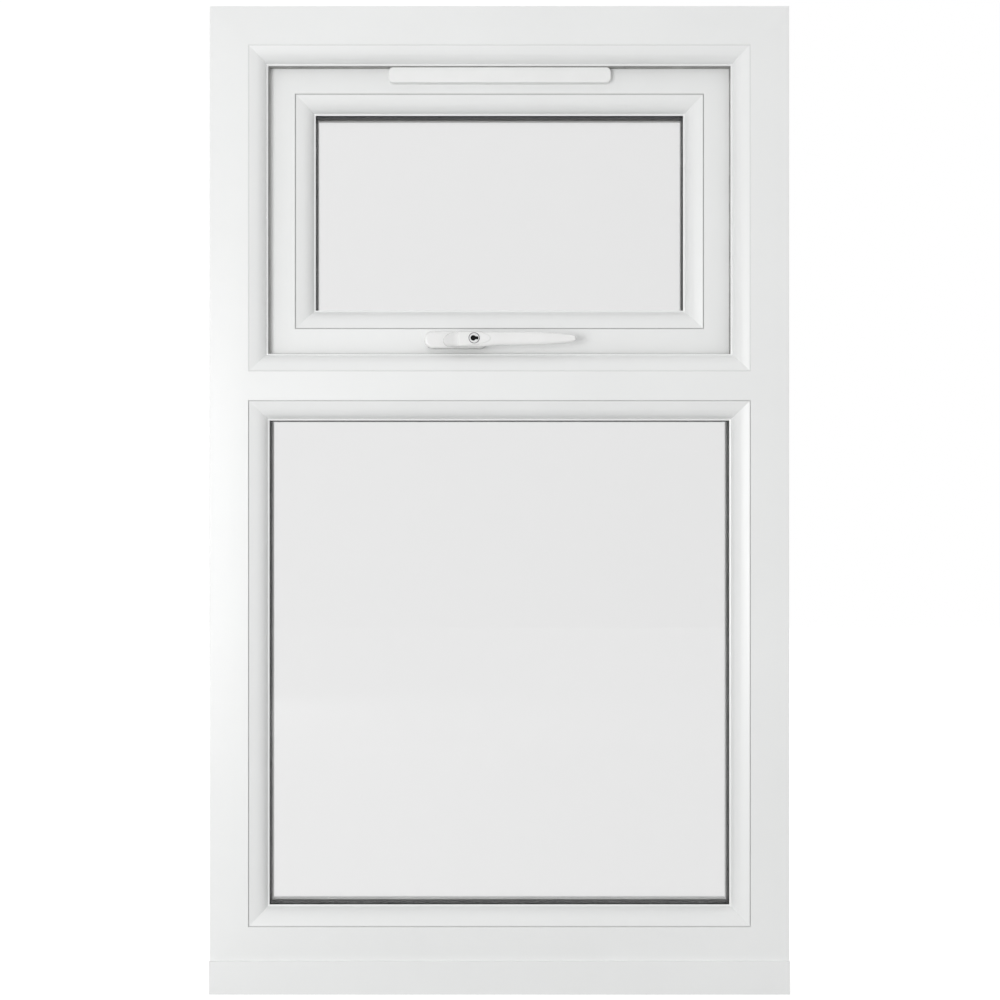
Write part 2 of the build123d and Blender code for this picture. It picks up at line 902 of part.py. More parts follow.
# Slots cut right through, from one depth to another
def air_slots(near, far):
    with BuildPart() as group:
        with BuildSketch(room_plane(near)):
            with Locations(*slot_places):
                SlotOverall(slot_length, slot_height)
        extrude(amount=near - far)
    return group.part


with BuildPart() as sash_top_rail:
    add(sash_bars["top"])
    add(air_slots(sash_recess - overcut, sash_outer + overcut), mode=Mode.SUBTRACT)
    add(
        discs(room_plane(sash_recess), vent_screw_places, screw_radius, -outer_wall),
        mode=Mode.SUBTRACT,
    )
save(sash_top_rail, "sash_top_rail")

lug_radius = flap_round - 0.5
vent_face = outward_plane(sash_recess - vent_base_depth)
vent_sunk_places = [(place, -height) for place, height in vent_screw_places]


# A plane across the flap's hinge line: its own x is the depth and its y is the height.
def flap_plane(place):
    return Plane(
        origin=(place, flap_axis_depth, flap_axis_height), x_dir=(0, 1, 0), z_dir=(1, 0, 0)
    )


with BuildPart() as vent_base:
    with BuildSketch(room_plane(sash_recess)):
        with Locations((vent_middle, vent_slot_height)):
            RectangleRounded(vent_length, vent_height, vent_corner)
    extrude(amount=vent_base_depth)
    add(
        air_slots(sash_recess - vent_base_depth - overcut, sash_recess + overcut),
        mode=Mode.SUBTRACT,
    )
    add(sunk_screws(vent_face, vent_sunk_places, screw_length), mode=Mode.SUBTRACT)
    for place in lug_places:
        side_plane = flap_plane(place - vent_lug_width / 2)
        with BuildSketch(side_plane):
            Circle(lug_radius)
            chamber(
                0,
                -lug_radius,
                sash_recess - vent_base_depth - flap_axis_depth,
                lug_radius,
                mode=Mode.ADD,
            )
        extrude(amount=vent_lug_width)
        pin_plane = side_plane.offset(-vent_pin_reach)
        with BuildSketch(pin_plane):
            Circle(vent_pin_radius)
        extrude(amount=vent_lug_width + 2 * vent_pin_reach)
save(vent_base, "vent_base")

flap_back = sash_recess - vent_base_depth - gap
flap_front = sash_recess - vent_depth
with BuildPart() as vent_flap:
    with BuildSketch(room_plane(flap_back)):
        with Locations((vent_middle, vent_slot_height)):
            RectangleRounded(vent_length, vent_height, vent_corner)
    extrude(amount=flap_back - flap_front)
    fillet(vent_flap.faces().sort_by(Axis.Y)[0].edges(), radius=flap_edge_round)
    back_edges = vent_flap.faces().sort_by(Axis.Y)[-1].edges().filter_by(Axis.X)
    fillet(back_edges.sort_by(Axis.Z)[0], radius=flap_round)
    for place in lug_places:
        recess_width = vent_lug_width + 2 * gap
        with BuildSketch(flap_plane(place - recess_width / 2)):
            Circle(lug_radius + gap)
            chamber(
                0,
                -flap_round - overcut,
                flap_round + overcut,
                lug_radius + flap_recess_rise,
                mode=Mode.ADD,
            )
        extrude(amount=recess_width, mode=Mode.SUBTRACT)
        pin_hole_length = vent_lug_width + 2 * vent_pin_reach + 2 * gap
        with BuildSketch(flap_plane(place - pin_hole_length / 2)):
            Circle(vent_pin_radius + running)
        extrude(amount=pin_hole_length, mode=Mode.SUBTRACT)
save(vent_flap, "vent_flap")

# Canopy over the slots outside: a hood with a sloping top, open below and at its back
canopy_low = vent_slot_height - canopy_height / 2
canopy_high = canopy_low + canopy_height
canopy_half = vent_length / 2


def canopy_section(inset):
    with BuildSketch() as section:
        with BuildLine():
            Polyline(
                (sash_outer, canopy_low),
                (sash_outer, canopy_high - inset),
                (sash_outer + canopy_depth - inset, canopy_high - canopy_fall - inset),
                (sash_outer + canopy_depth - inset, canopy_low),
                close=True,
            )
        make_face()
    return section.sketch


with BuildPart() as vent_canopy:
    canopy_start = vent_middle - canopy_half
    with BuildSketch(Plane(origin=(canopy_start, 0, 0), x_dir=(0, 1, 0), z_dir=(1, 0, 0))):
        add(canopy_section(0))
    extrude(amount=vent_length)
    fillet(vent_canopy.faces().sort_by(Axis.Y)[-1].edges(), radius=canopy_round)
    hollow_start = canopy_start + canopy_wall
    with BuildSketch(Plane(origin=(hollow_start, 0, 0), x_dir=(0, 1, 0), z_dir=(1, 0, 0))):
        add(canopy_section(canopy_wall))
    extrude(amount=vent_length - 2 * canopy_wall, mode=Mode.SUBTRACT)
save(vent_canopy, "vent_canopy")

# Locking gear in the bottom rail
groove_low = groove_middle - groove_width / 2
groove_high = groove_middle + groove_width / 2
plate_top = sash_low + faceplate_thickness
rod_low = plate_top + gap
gearbox_low_x = handle_x - gearbox_length / 2
gearbox_high_x = handle_x + gearbox_length / 2
gearbox_near = groove_middle - gearbox_width / 2
gearbox_far = groove_middle + gearbox_width / 2
faceplate_screw_shift = faceplate_length / 2 - faceplate_screw_inset
faceplate_screw_places = [
    (-faceplate_screw_shift, groove_middle),
    (faceplate_screw_shift, groove_middle),
]
handle_screw_places = [
    (handle_x - handle_screw_spacing / 2, handle_z),
    (handle_x + handle_screw_spacing / 2, handle_z),
]
spindle_hole = spindle_size / 2 * hypot(1, 1) + gap

with BuildPart() as sash_bottom_rail:
    add(sash_bars["bottom"])
    add(
        block(
            upward_plane(sash_low),
            (gearbox_low_x - gap, groove_low),
            (gearbox_high_x + gap, groove_high),
            groove_depth + outer_wall + overcut,
        ),
        mode=Mode.SUBTRACT,
    )
    add(
        discs(room_plane(sash_recess), [(handle_x, handle_z)], spindle_hole, -outer_wall),
        mode=Mode.SUBTRACT,
    )
    add(
        discs(room_plane(sash_recess), handle_screw_places, handle_screw_radius, -outer_wall),
        mode=Mode.SUBTRACT,
    )
    add(
        discs(
            upward_plane(sash_low + groove_depth), faceplate_screw_places, screw_radius, outer_wall
        ),
        mode=Mode.SUBTRACT,
    )
save(sash_bottom_rail, "sash_bottom_rail")

cam_slot = rod_travel + 2 * cam_radius + 2 * gap
with BuildPart() as lock_faceplate:
    with BuildSketch(upward_plane(sash_low)):
        with Locations((0, groove_middle)):
            Rectangle(faceplate_length, groove_width)
        with Locations(*[(place + rod_travel / 2, groove_middle) for place in cam_places]):
            SlotOverall(cam_slot, 2 * (cam_radius + gap), mode=Mode.SUBTRACT)
    extrude(amount=faceplate_thickness)
    add(
        sunk_screws(upward_plane(sash_low), faceplate_screw_places, screw_length),
        mode=Mode.SUBTRACT,
    )
save(lock_faceplate, "lock_faceplate")

with BuildPart() as lock_rod:
    add(
        block(
            upward_plane(rod_low),
            (-rod_length / 2, groove_middle - rod_width / 2),
            (rod_length / 2, groove_middle + rod_width / 2),
            rod_thickness,
        )
    )
    cams = [(place, groove_middle) for place in cam_places]
    add(discs(upward_plane(rod_low), cams, cam_neck_radius, -cam_drop))
    add(discs(upward_plane(rod_low - cam_drop), cams, cam_radius, cam_head))
save(lock_rod, "lock_rod")

with BuildPart() as lock_gearbox:
    add(
        block(
            upward_plane(plate_top),
            (gearbox_low_x, gearbox_near),
            (gearbox_high_x, gearbox_far),
            gearbox_height,
        )
    )
    fillet(lock_gearbox.edges().filter_by(Axis.Y).group_by(Axis.Z)[-1], radius=gearbox_corner)
    add(
        block(
            upward_plane(plate_top),
            (gearbox_low_x, groove_middle - rod_width / 2 - gap),
            (gearbox_high_x, groove_middle + rod_width / 2 + gap),
            rod_thickness + 2 * gap,
        ),
        mode=Mode.SUBTRACT,
    )
    add(
        discs(
            room_plane(gearbox_near - overcut),
            [(handle_x, handle_z)],
            follower_radius + running,
            -gearbox_width - 2 * overcut,
        ),
        mode=Mode.SUBTRACT,
    )
save(lock_gearbox, "lock_gearbox")

# Two keeps on the transom, each with a lip beside the place of its cam
lip_near = groove_middle + cam_radius + keep_play
with BuildPart() as lock_keeps:
    for start, lip_end in zip(keep_starts, keep_lip_ends):
        add(
            block(
                upward_plane(opener_low),
                (start, groove_middle - keep_width / 2),
                (start + keep_length, groove_middle + keep_width / 2),
                keep_thickness,
            )
        )
        add(
            block(
                upward_plane(opener_low + keep_thickness),
                (lip_end - keep_lip_length, lip_near),
                (lip_end, lip_near + keep_lip),
                keep_rise - keep_thickness,
            )
        )
    add(
        discs(upward_plane(opener_low), keep_places, screw_radius, keep_thickness),
        mode=Mode.SUBTRACT,
    )
save(lock_keeps, "lock_keeps")

# Countersunk screws in the sash: stay bars, vent base and faceplate
with BuildPart() as sash_screws:
    add(sunk_screws(left_layer(bar_layer), bar_places, screw_length + groove_depth))
    mirror(about=Plane.YZ)
    add(sunk_screws(vent_face, vent_sunk_places, screw_length))
    add(sunk_screws(upward_plane(sash_low), faceplate_screw_places, screw_length))
save(sash_screws, "sash_screws")

# Handle: base, lever, spindle with its follower, lock cylinder and fixing screws
base_face = sash_recess - base_height
base_end = base_left + base_width / 2
with BuildPart() as handle_base:
    with BuildSketch(room_plane(sash_recess)) as base_outline:
        with BuildLine():
            ThreePointArc(
                (base_end, handle_z + base_width / 2),
                (base_left, handle_z),
                (base_end, handle_z - base_width / 2),
            )
            Polyline(
                (base_end, handle_z - base_width / 2),
                (base_shoulder, handle_z - base_width / 2),
                (base_tip, handle_z),
                (base_shoulder, handle_z + base_width / 2),
                (base_end, handle_z + base_width / 2),
            )
        make_face()
        fillet(base_outline.vertices().sort_by(Axis.X)[-1], radius=base_tip_round)
        fillet(base_outline.vertices().group_by(Axis.X)[-2], radius=base_round)
    extrude(amount=base_height)
    fillet(handle_base.faces().sort_by(Axis.Y)[0].edges(), radius=base_round)
    add(
        discs(room_plane(sash_recess), [(handle_x, handle_z)], spindle_hole, base_height),
        mode=Mode.SUBTRACT,
    )
    for radius, near, far in (
        (handle_screw_radius, sash_recess, base_face + handle_screw_sink),
        (
            handle_screw_head_radius,
            base_face + handle_screw_sink,
            base_face + handle_cover_wall,
        ),
    ):
        add(
            discs(room_plane(near), handle_screw_places, radius, near - far),
            mode=Mode.SUBTRACT,
        )
save(handle_base, "handle_base")

with BuildPart() as handle_screws:
    head_depth = base_face + handle_screw_sink
    add(
        discs(
            room_plane(head_depth),
            handle_screw_places,
            handle_screw_head_radius,
            handle_screw_head,
        )
    )
    add(
        discs(
            room_plane(head_depth),
            handle_screw_places,
            handle_screw_radius,
            -(sash_recess - head_depth + handle_screw_bite),
        )
    )
save(handle_screws, "handle_screws")

lever_back_depth = sash_recess - lever_middle + lever_thickness / 2
lever_front_depth = lever_back_depth - lever_thickness
hub_middle = lever_back + hub_width / 2
with BuildPart() as handle_lever:
    with BuildSketch(room_plane(lever_back_depth)):
        with BuildLine():
            for side in (-1, 1):
                flank = TangentArc(
                    (hub_middle, handle_z + side * hub_width / 2),
                    (taper_x, handle_z + side * taper_width / 2),
                    tangent=(1, 0),
                )
                taper = TangentArc(
                    flank @ 1,
                    (tip_start, handle_z + side * tip_radius),
                    tangent=flank % 1,
                )
            ThreePointArc(
                (hub_middle, handle_z + hub_width / 2),
                (lever_back, handle_z),
                (hub_middle, handle_z - hub_width / 2),
            )
            TangentArc(taper @ 1, (tip_start, handle_z - tip_radius), tangent=taper % 1)
        make_face()
    extrude(amount=lever_thickness)
    fillet(handle_lever.faces().sort_by(Axis.Y)[0].edges(), radius=lever_round)
    add(
        discs(
            room_plane(lever_back_depth),
            [(handle_x, handle_z)],
            neck_radius,
            lever_back_depth - base_face + gap,
        )
    )
    pad_middle = (lock_pad_back + lock_pad_tip) / 2
    with BuildSketch(room_plane(lever_front_depth)):
        with BuildLine():
            for side in (-1, 1):
                ThreePointArc(
                    (lock_pad_back, handle_z),
                    (pad_middle, handle_z + side * lock_pad_width / 2),
                    (lock_pad_tip, handle_z),
                )
        make_face()
    extrude(amount=lock_pad_rise)
    add(
        discs(
            room_plane(lever_front_depth + lock_depth),
            [(lock_x, handle_z)],
            lock_radius + running,
            lock_depth + lock_pad_rise,
        ),
        mode=Mode.SUBTRACT,
    )
    with BuildSketch(room_plane(base_face)):
        with Locations((handle_x, handle_z)):
            Rectangle(spindle_size, spindle_size)
    extrude(amount=spindle_socket, mode=Mode.SUBTRACT)
save(handle_lever, "handle_lever")

with BuildPart() as handle_spindle:
    with BuildSketch(room_plane(base_face - spindle_socket)):
        with Locations((handle_x, handle_z)):
            Rectangle(spindle_size, spindle_size)
    extrude(amount=-(gearbox_far - base_face + spindle_socket))
    add(
        discs(
            room_plane(groove_middle + follower_width / 2),
            [(handle_x, handle_z)],
            follower_radius,
            follower_width,
        )
    )
save(handle_spindle, "handle_spindle")

with BuildPart() as lock_cylinder:
    add(
        discs(
            room_plane(lever_front_depth + lock_depth),
            [(lock_x, handle_z)],
            lock_radius,
            lock_depth + lock_proud,
        )
    )
    with BuildSketch(room_plane(lever_front_depth + keyhole_depth)):
        with Locations((lock_x, handle_z)):
            SlotOverall(keyhole_length, keyhole_width)
            Circle(keyhole_radius)
    extrude(amount=keyhole_depth + lock_proud + overcut, mode=Mode.SUBTRACT)
save(lock_cylinder, "lock_cylinder")
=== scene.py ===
"""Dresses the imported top-hung window: finishes, seals, fixings, lever, lock and studio."""

from __future__ import annotations

import logging
import math
from collections.abc import Callable, Iterable
from dataclasses import dataclass
from enum import Enum
from typing import ClassVar

import bmesh
import bpy
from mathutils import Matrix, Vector

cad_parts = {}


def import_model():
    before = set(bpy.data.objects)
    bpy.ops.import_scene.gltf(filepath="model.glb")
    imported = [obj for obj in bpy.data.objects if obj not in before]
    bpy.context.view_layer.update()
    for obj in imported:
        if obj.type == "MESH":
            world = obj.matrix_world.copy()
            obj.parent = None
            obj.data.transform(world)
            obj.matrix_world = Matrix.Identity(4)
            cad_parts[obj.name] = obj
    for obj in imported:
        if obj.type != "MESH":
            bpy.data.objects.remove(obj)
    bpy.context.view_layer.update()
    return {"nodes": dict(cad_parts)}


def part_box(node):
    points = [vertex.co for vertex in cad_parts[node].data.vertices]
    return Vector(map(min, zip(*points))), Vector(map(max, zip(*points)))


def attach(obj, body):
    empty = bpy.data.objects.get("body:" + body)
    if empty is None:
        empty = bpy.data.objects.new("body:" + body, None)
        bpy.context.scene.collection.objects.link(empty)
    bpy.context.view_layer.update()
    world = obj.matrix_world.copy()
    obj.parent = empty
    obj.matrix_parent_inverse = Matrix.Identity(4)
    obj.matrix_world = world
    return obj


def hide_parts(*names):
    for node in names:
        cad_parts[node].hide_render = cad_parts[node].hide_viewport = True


LOG = logging.getLogger("window")

# Nearly all values of a noise lie between these two.
NOISE_LOW = 0.3
NOISE_HIGH = 0.7

Colour = tuple[float, float, float]
Point = tuple[float, float, float]
Flat = tuple[float, float]
Socket = bpy.types.NodeSocket
Form = bmesh.types.BMesh
Piece = bpy.types.Object


class Grain(Enum):
    """The way a part was drawn or rolled, as noise scales along X, Y and Z."""

    ACROSS = (9.0, 700.0, 700.0)
    UPRIGHT = (700.0, 700.0, 9.0)
    EVEN = (350.0, 350.0, 350.0)


@dataclass(frozen=True)
class Noise:
    """Noise with its scales per metre along X, Y and Z, its octaves and its shift."""

    scales: Point
    detail: float = 2.0
    shift: float = 0.0

    @classmethod
    def even(cls, scale: float, detail: float = 2.0, shift: float = 0.0) -> Noise:
        """Return noise of the same scale along every axis."""
        return cls((scale, scale, scale), detail, shift)


class Tree:
    """A node tree, with short calls that add and join its nodes."""

    def __init__(self, tree: bpy.types.NodeTree) -> None:
        """Take over a node tree and empty it."""
        self.tree = tree
        self.tree.nodes.clear()

    def join(self, source: Socket, target: Socket) -> None:
        """Link one socket to another."""
        self.tree.links.new(source, target)

    def node(
        self, kind: str, inputs: dict[str | int, object] | None = None, **settings: object
    ) -> bpy.types.Node:
        """Add a node, set its properties and feed its inputs.

        Args:
            kind: Type of the node.
            inputs: Sockets or plain values for its inputs, by name or number.
            **settings: Properties of the node.

        Returns:
            The node.
        """
        made = self.tree.nodes.new(kind)
        for name, setting in settings.items():
            setattr(made, name, setting)
        for name, value in (inputs or {}).items():
            if isinstance(value, Socket):
                self.join(value, made.inputs[name])
            else:
                made.inputs[name].default_value = value
        return made

    def math(self, operation: str, *values: Socket | float) -> Socket:
        """Work out one number from others and return the socket that gives it."""
        node = self.node("ShaderNodeMath", dict(enumerate(values)), operation=operation)
        return node.outputs["Value"]

    def spread(
        self,
        value: Socket,
        low: Socket | float,
        high: Socket | float,
        start: float = NOISE_LOW,
        end: float = NOISE_HIGH,
    ) -> Socket:
        """Give low where the value is at the start or less, and high at the end or more."""
        inputs = {"Value": value, "From Min": start, "From Max": end, "To Min": low, "To Max": high}
        return self.node("ShaderNodeMapRange", inputs).outputs["Result"]


class Graph(Tree):
    """A material's node tree."""

    def __init__(self, name: str) -> None:
        """Start an empty tree.

        Args:
            name: Name of the new material.
        """
        self.material = bpy.data.materials.new(name)
        self.material.use_nodes = True
        super().__init__(self.material.node_tree)
        self.output = self.node("ShaderNodeOutputMaterial")
        self.place = self.node("ShaderNodeTexCoord").outputs["Object"]

    def noise(self, noise: Noise) -> Socket:
        """Add noise and return the socket that gives it, from 0 to 1."""
        shift = (noise.shift, noise.shift, noise.shift)
        moved = {"Vector": self.place, "Scale": noise.scales, "Location": shift}
        vector = self.node("ShaderNodeMapping", moved).outputs["Vector"]
        inputs = {"Vector": vector, "Scale": 1.0, "Detail": noise.detail}
        return self.node("ShaderNodeTexNoise", inputs).outputs["Fac"]

    def parts(self) -> bpy.types.NodeOutputs:
        """Return the sockets X, Y and Z of a point's place."""
        return self.node("ShaderNodeSeparateXYZ", {"Vector": self.place}).outputs

    def tint(self, value: Socket, colour: Colour, dark: float, pale: float) -> Socket:
        """Vary the brightness of a colour by a value.

        Args:
            value: Socket that sets the brightness.
            colour: The colour.
            dark: Share of the brightness at low values.
            pale: Share of the brightness at high values.

        Returns:
            The socket that gives the colour.
        """
        ramp = self.node("ShaderNodeValToRGB", {"Fac": value})
        stops = ((NOISE_LOW, dark), (NOISE_HIGH, pale))
        for element, (position, share) in zip(ramp.color_ramp.elements, stops):
            element.position = position
            element.color = (*(min(1.0, part * share) for part in colour), 1.0)
        return ramp.outputs["Color"]

    def toned(self, colour: Socket, where: Socket, tone: float) -> Socket:
        """Darken a colour in places: painted shade.

        Args:
            colour: Socket with the colour.
            where: Socket that is 1 where the painted shade falls and 0 elsewhere.
            tone: What the colour is multiplied by there.

        Returns:
            The socket that gives the colour.
        """
        factor, first, second, result = 0, 6, 7, 2
        inputs = {factor: where, first: colour, second: (tone, tone, tone, 1.0)}
        mix = self.node("ShaderNodeMix", inputs, data_type="RGBA", blend_type="MULTIPLY")
        return mix.outputs[result]

    def relief(self, height: Socket, depth: float, under: Socket | None = None) -> Socket:
        """Add a bump.

        Args:
            height: Socket that gives the height, from 0 to 1.
            depth: Height of the relief in metres.
            under: Normal that the bump is laid on.

        Returns:
            The socket that gives the normal.
        """
        bump = self.node("ShaderNodeBump", {"Height": height, "Strength": 1.0, "Distance": depth})
        if under is not None:
            self.join(under, bump.inputs["Normal"])
        return bump.outputs["Normal"]

    def surface(self, **values: float | Colour) -> bpy.types.Node:
        """Add the surface shader and join it to the output.

        Args:
            **values: Socket names, with _ for a space, and their values.

        Returns:
            The shader node.
        """
        shader = self.node("ShaderNodeBsdfPrincipled")
        for name, value in values.items():
            socket = shader.inputs[name.replace("_", " ")]
            socket.default_value = (*value, 1.0) if isinstance(value, tuple) else value
        self.join(shader.outputs["BSDF"], self.output.inputs["Surface"])
        return shader


@dataclass(frozen=True)
class Finish:
    """A surface whose colour clouds a little and whose fine skin sets its gloss and relief."""

    name: str
    colour: Colour
    roughness: float
    depth: float

    cloud: ClassVar[Noise]
    fine: ClassVar[Noise]
    tones: ClassVar[tuple[float, float]]
    band: ClassVar[tuple[float, float]]
    gloss: ClassVar[dict[str, float]]

    def constants(self) -> dict[str, float]:
        """Return the shader's constant values."""
        return self.gloss

    def skin(self) -> Noise:
        """Return the noise of the skin."""
        return self.fine

    def with_painted_shade(self, graph: Graph, colour: Socket) -> Socket:
        """Return the colour with any painted shade that this finish has."""
        return colour

    def normal(self, graph: Graph, skin: Socket) -> Socket:
        """Return the normal of the skin."""
        return graph.relief(skin, self.depth)

    def material(self) -> bpy.types.Material:
        """Build the material."""
        graph = Graph(self.name)
        shader = graph.surface(**self.constants())
        colour = graph.tint(graph.noise(self.cloud), self.colour, *self.tones)
        skin = graph.noise(self.skin())
        smoother, rougher = self.band
        rough = graph.spread(skin, self.roughness - smoother, self.roughness + rougher)
        graph.join(self.with_painted_shade(graph, colour), shader.inputs["Base Color"])
        graph.join(rough, shader.inputs["Roughness"])
        graph.join(self.normal(graph, skin), shader.inputs["Normal"])
        return graph.material


@dataclass(frozen=True)
class Joint:
    """A narrow joint round a rectangle seen from the room, with painted shade darker than the faces
    beside it.
    """

    half: float
    low: float
    high: float
    # Colour factor of the painted shade in the joint.
    tone: float
    width: float = 0.0012
    slack: float = 0.00002

    def inside(self, graph: Graph) -> Socket:
        """Return the socket that is 1 in the joint and 0 elsewhere."""
        parts = graph.parts()
        across = graph.math("SUBTRACT", graph.math("ABSOLUTE", parts["X"]), self.half)
        upright = graph.math("SUBTRACT", parts["Z"], (self.low + self.high) / 2)
        upright = graph.math("ABSOLUTE", upright)
        upright = graph.math("SUBTRACT", upright, (self.high - self.low) / 2)
        reach = graph.math("MAXIMUM", across, upright)
        off = graph.math("ABSOLUTE", graph.math("ADD", reach, self.width / 2))
        return graph.math("LESS_THAN", off, self.width / 2 + self.slack)


@dataclass(frozen=True)
class Upvc(Finish):
    """White extruded profile: faint die lines, a little mottling and a low gloss."""

    colour: Colour = (0.885, 0.893, 0.888)
    roughness: float = 0.36
    depth: float = 0.000012
    grain: Grain = Grain.ACROSS
    joint: Joint | None = None
    pit_share: float = 0.6

    cloud: ClassVar = Noise.even(7.0, detail=3.0)
    pits: ClassVar = Noise.even(1100.0, detail=1.0, shift=5.0)
    tones: ClassVar = (0.988, 1.012)
    band: ClassVar = (0.04, 0.04)
    gloss: ClassVar = {"Specular_IOR_Level": 0.42, "Coat_Weight": 0.08, "Coat_Roughness": 0.22}

    def skin(self) -> Noise:
        """Return the die lines along the profile."""
        return Noise(self.grain.value, shift=3.0)

    def with_painted_shade(self, graph: Graph, colour: Socket) -> Socket:
        """Darken the colour along the joint: mostly painted shade in the narrow gap, partly dust.
        """
        if self.joint is None:
            return colour
        return graph.toned(colour, self.joint.inside(graph), self.joint.tone)

    def normal(self, graph: Graph, skin: Socket) -> Socket:
        """Lay fine pits over the die lines."""
        lines = graph.relief(skin, self.depth)
        return graph.relief(graph.noise(self.pits), self.depth * self.pit_share, lines)


@dataclass(frozen=True)
class Moulded(Finish):
    """Injection-moulded plastic with a fine spark texture."""

    roughness: float = 0.42
    depth: float = 0.00003
    sheen: float = 0.45

    cloud: ClassVar = Noise.even(30.0, detail=3.0)
    fine: ClassVar = Noise.even(900.0, shift=1.0)
    tones: ClassVar = (0.98, 1.02)
    band: ClassVar = (0.05, 0.06)

    def constants(self) -> dict[str, float]:
        """Return the shader's constant values."""
        return {"Specular_IOR_Level": self.sheen}


@dataclass(frozen=True)
class PowderCoat(Finish):
    """White powder coat on a die-cast handle, with a soft orange peel."""

    colour: Colour = (0.90, 0.90, 0.893)
    roughness: float = 0.24
    depth: float = 0.00005
    end: float | None = None
    # Colour factor and fade length of the painted shade on the broad end.
    end_shade_tone: float = 0.88
    end_shade_fade: float = 0.006

    cloud: ClassVar = Noise.even(60.0)
    fine: ClassVar = Noise.even(420.0, detail=1.5, shift=2.0)
    tones: ClassVar = (0.985, 1.01)
    band: ClassVar = (0.03, 0.03)
    gloss: ClassVar = {"Specular_IOR_Level": 0.5, "Coat_Weight": 0.25, "Coat_Roughness": 0.12}

    def with_painted_shade(self, graph: Graph, colour: Socket) -> Socket:
        """Darken the broad end with painted shade."""
        if self.end is None:
            return colour
        where = graph.spread(graph.parts()["X"], 1.0, 0.0, self.end - self.end_shade_fade, self.end)
        return graph.toned(colour, where, self.end_shade_tone)


@dataclass(frozen=True)
class Rubber(Finish):
    """Extruded seal: dull, with a bloom along its length."""

    roughness: float = 0.68
    depth: float = 0.00003

    cloud: ClassVar = Noise.even(55.0, detail=4.0)
    fine: ClassVar = Noise.even(1400.0, shift=4.0)
    tones: ClassVar = (0.85, 1.2)
    band: ClassVar = (0.08, 0.1)
    gloss: ClassVar = {"Specular_IOR_Level": 0.3}


@dataclass(frozen=True)
class Metal(Finish):
    """Rolled, drawn or plated metal with fine lines along its grain."""

    roughness: float = 0.3
    depth: float = 0.00001
    grain: Grain = Grain.EVEN

    cloud: ClassVar = Noise.even(80.0, detail=3.0, shift=6.0)
    tones: ClassVar = (0.9, 1.08)
    band: ClassVar = (0.08, 0.1)
    gloss: ClassVar = {"Metallic": 1.0}

    def skin(self) -> Noise:
        """Return the lines along the grain."""
        return Noise(self.grain.value, detail=3.0, shift=1.5)


@dataclass(frozen=True)
class FloatGlass:
    """Clear float glass with a faint tint and an all but flat surface."""

    name: str
    colour: Colour = (0.897, 0.897, 0.897)
    wave: float = 0.000004
    rollers: Noise = Noise((14.0, 14.0, 5.0), detail=1.0)

    def material(self) -> bpy.types.Material:
        """Build the material."""
        graph = Graph(self.name)
        shader = graph.surface(
            Base_Color=self.colour, Transmission_Weight=1.0, Roughness=0.0, IOR=1.5
        )
        normal = graph.relief(graph.noise(self.rollers), self.wave)
        graph.join(normal, shader.inputs["Normal"])
        return graph.material


@dataclass(frozen=True)
class Joints:
    """The fine joints round the opener's upstand and round the beads, darkened with painted shade.
    """

    fixed: Joint
    sash: Joint
    opener: Joint

    upstand_height: ClassVar = 0.0195
    # Colour factors of the painted shade in each joint.
    fixed_shade_tone: ClassVar = 0.80
    sash_shade_tone: ClassVar = 0.68
    opener_shade_tone: ClassVar = 0.90

    @classmethod
    def read(cls) -> Joints:
        """Read the joints off the CAD nodes."""
        rings = []
        for light in ("fixed", "sash"):
            low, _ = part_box(f"{light}_bead_left")
            _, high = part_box(f"{light}_bead_right")
            rings.append((high[0], low[2], high[2]))
        opener_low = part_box("transom")[1][2] - cls.upstand_height
        opener_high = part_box("frame_head")[0][2] + cls.upstand_height
        return cls(
            Joint(*rings[0], cls.fixed_shade_tone),
            Joint(*rings[1], cls.sash_shade_tone),
            Joint(rings[0][0], opener_low, opener_high, cls.opener_shade_tone),
        )


class Palette:
    """Every finish of the window, built once and given out by name."""

    bead_roughness = 0.33
    lever_end = 0.016

    def __init__(self, joints: Joints) -> None:
        """Build the materials.

        Args:
            joints: Where the joints round the opener and the lights run.
        """
        lever_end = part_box("handle_lever")[0][0] + self.lever_end
        finishes = [
            Moulded("vent_shell", (0.885, 0.89, 0.883)),
            Moulded("cap_plastic", (0.87, 0.875, 0.87), roughness=0.5),
            Moulded("packer_blue", (0.03, 0.10, 0.33), roughness=0.5),
            Moulded(
                "spacer_dark", (0.012, 0.015, 0.014), roughness=0.55, depth=0.00002, sheen=0.08
            ),
            Moulded("lock_face", (0.80, 0.80, 0.80), roughness=0.3, depth=0.00001),
            # The lever's coat has painted shade at its broad end.
            PowderCoat("lever_coat", end=lever_end),
            PowderCoat("handle_coat"),
            Rubber("gasket_black", (0.018, 0.018, 0.018)),
            Rubber("gasket_pale", (0.55, 0.55, 0.54)),
            Rubber("gasket_grey", (0.34, 0.34, 0.33)),
            # Black sheet for the painted shade in the keyhole.
            Rubber("keyhole_black", (0.006, 0.006, 0.006), roughness=0.8),
            Metal("stay_plate", (0.60, 0.60, 0.60), grain=Grain.UPRIGHT),
            Metal("lock_steel", (0.62, 0.62, 0.61), grain=Grain.ACROSS),
            Metal("zinc_plate", (0.66, 0.65, 0.61), roughness=0.26),
            Metal("rim_chrome", (0.72, 0.72, 0.73), roughness=0.14, depth=0.000003),
            FloatGlass("float_glass"),
        ]
        for way in (Grain.ACROSS, Grain.UPRIGHT):
            ending = way.name.lower()
            bead = {"grain": way, "roughness": self.bead_roughness}
            finishes += [
                Upvc(f"upvc_{ending}", grain=way),
                Upvc(f"frame_{ending}", grain=way, joint=joints.opener),
                Upvc(f"fixed_bead_{ending}", joint=joints.fixed, **bead),
                Upvc(f"sash_bead_{ending}", joint=joints.sash, **bead),
            ]
        self.materials = {finish.name: finish.material() for finish in finishes}

    def __getitem__(self, name: str) -> bpy.types.Material:
        """Return the material of that name."""
        return self.materials[name]


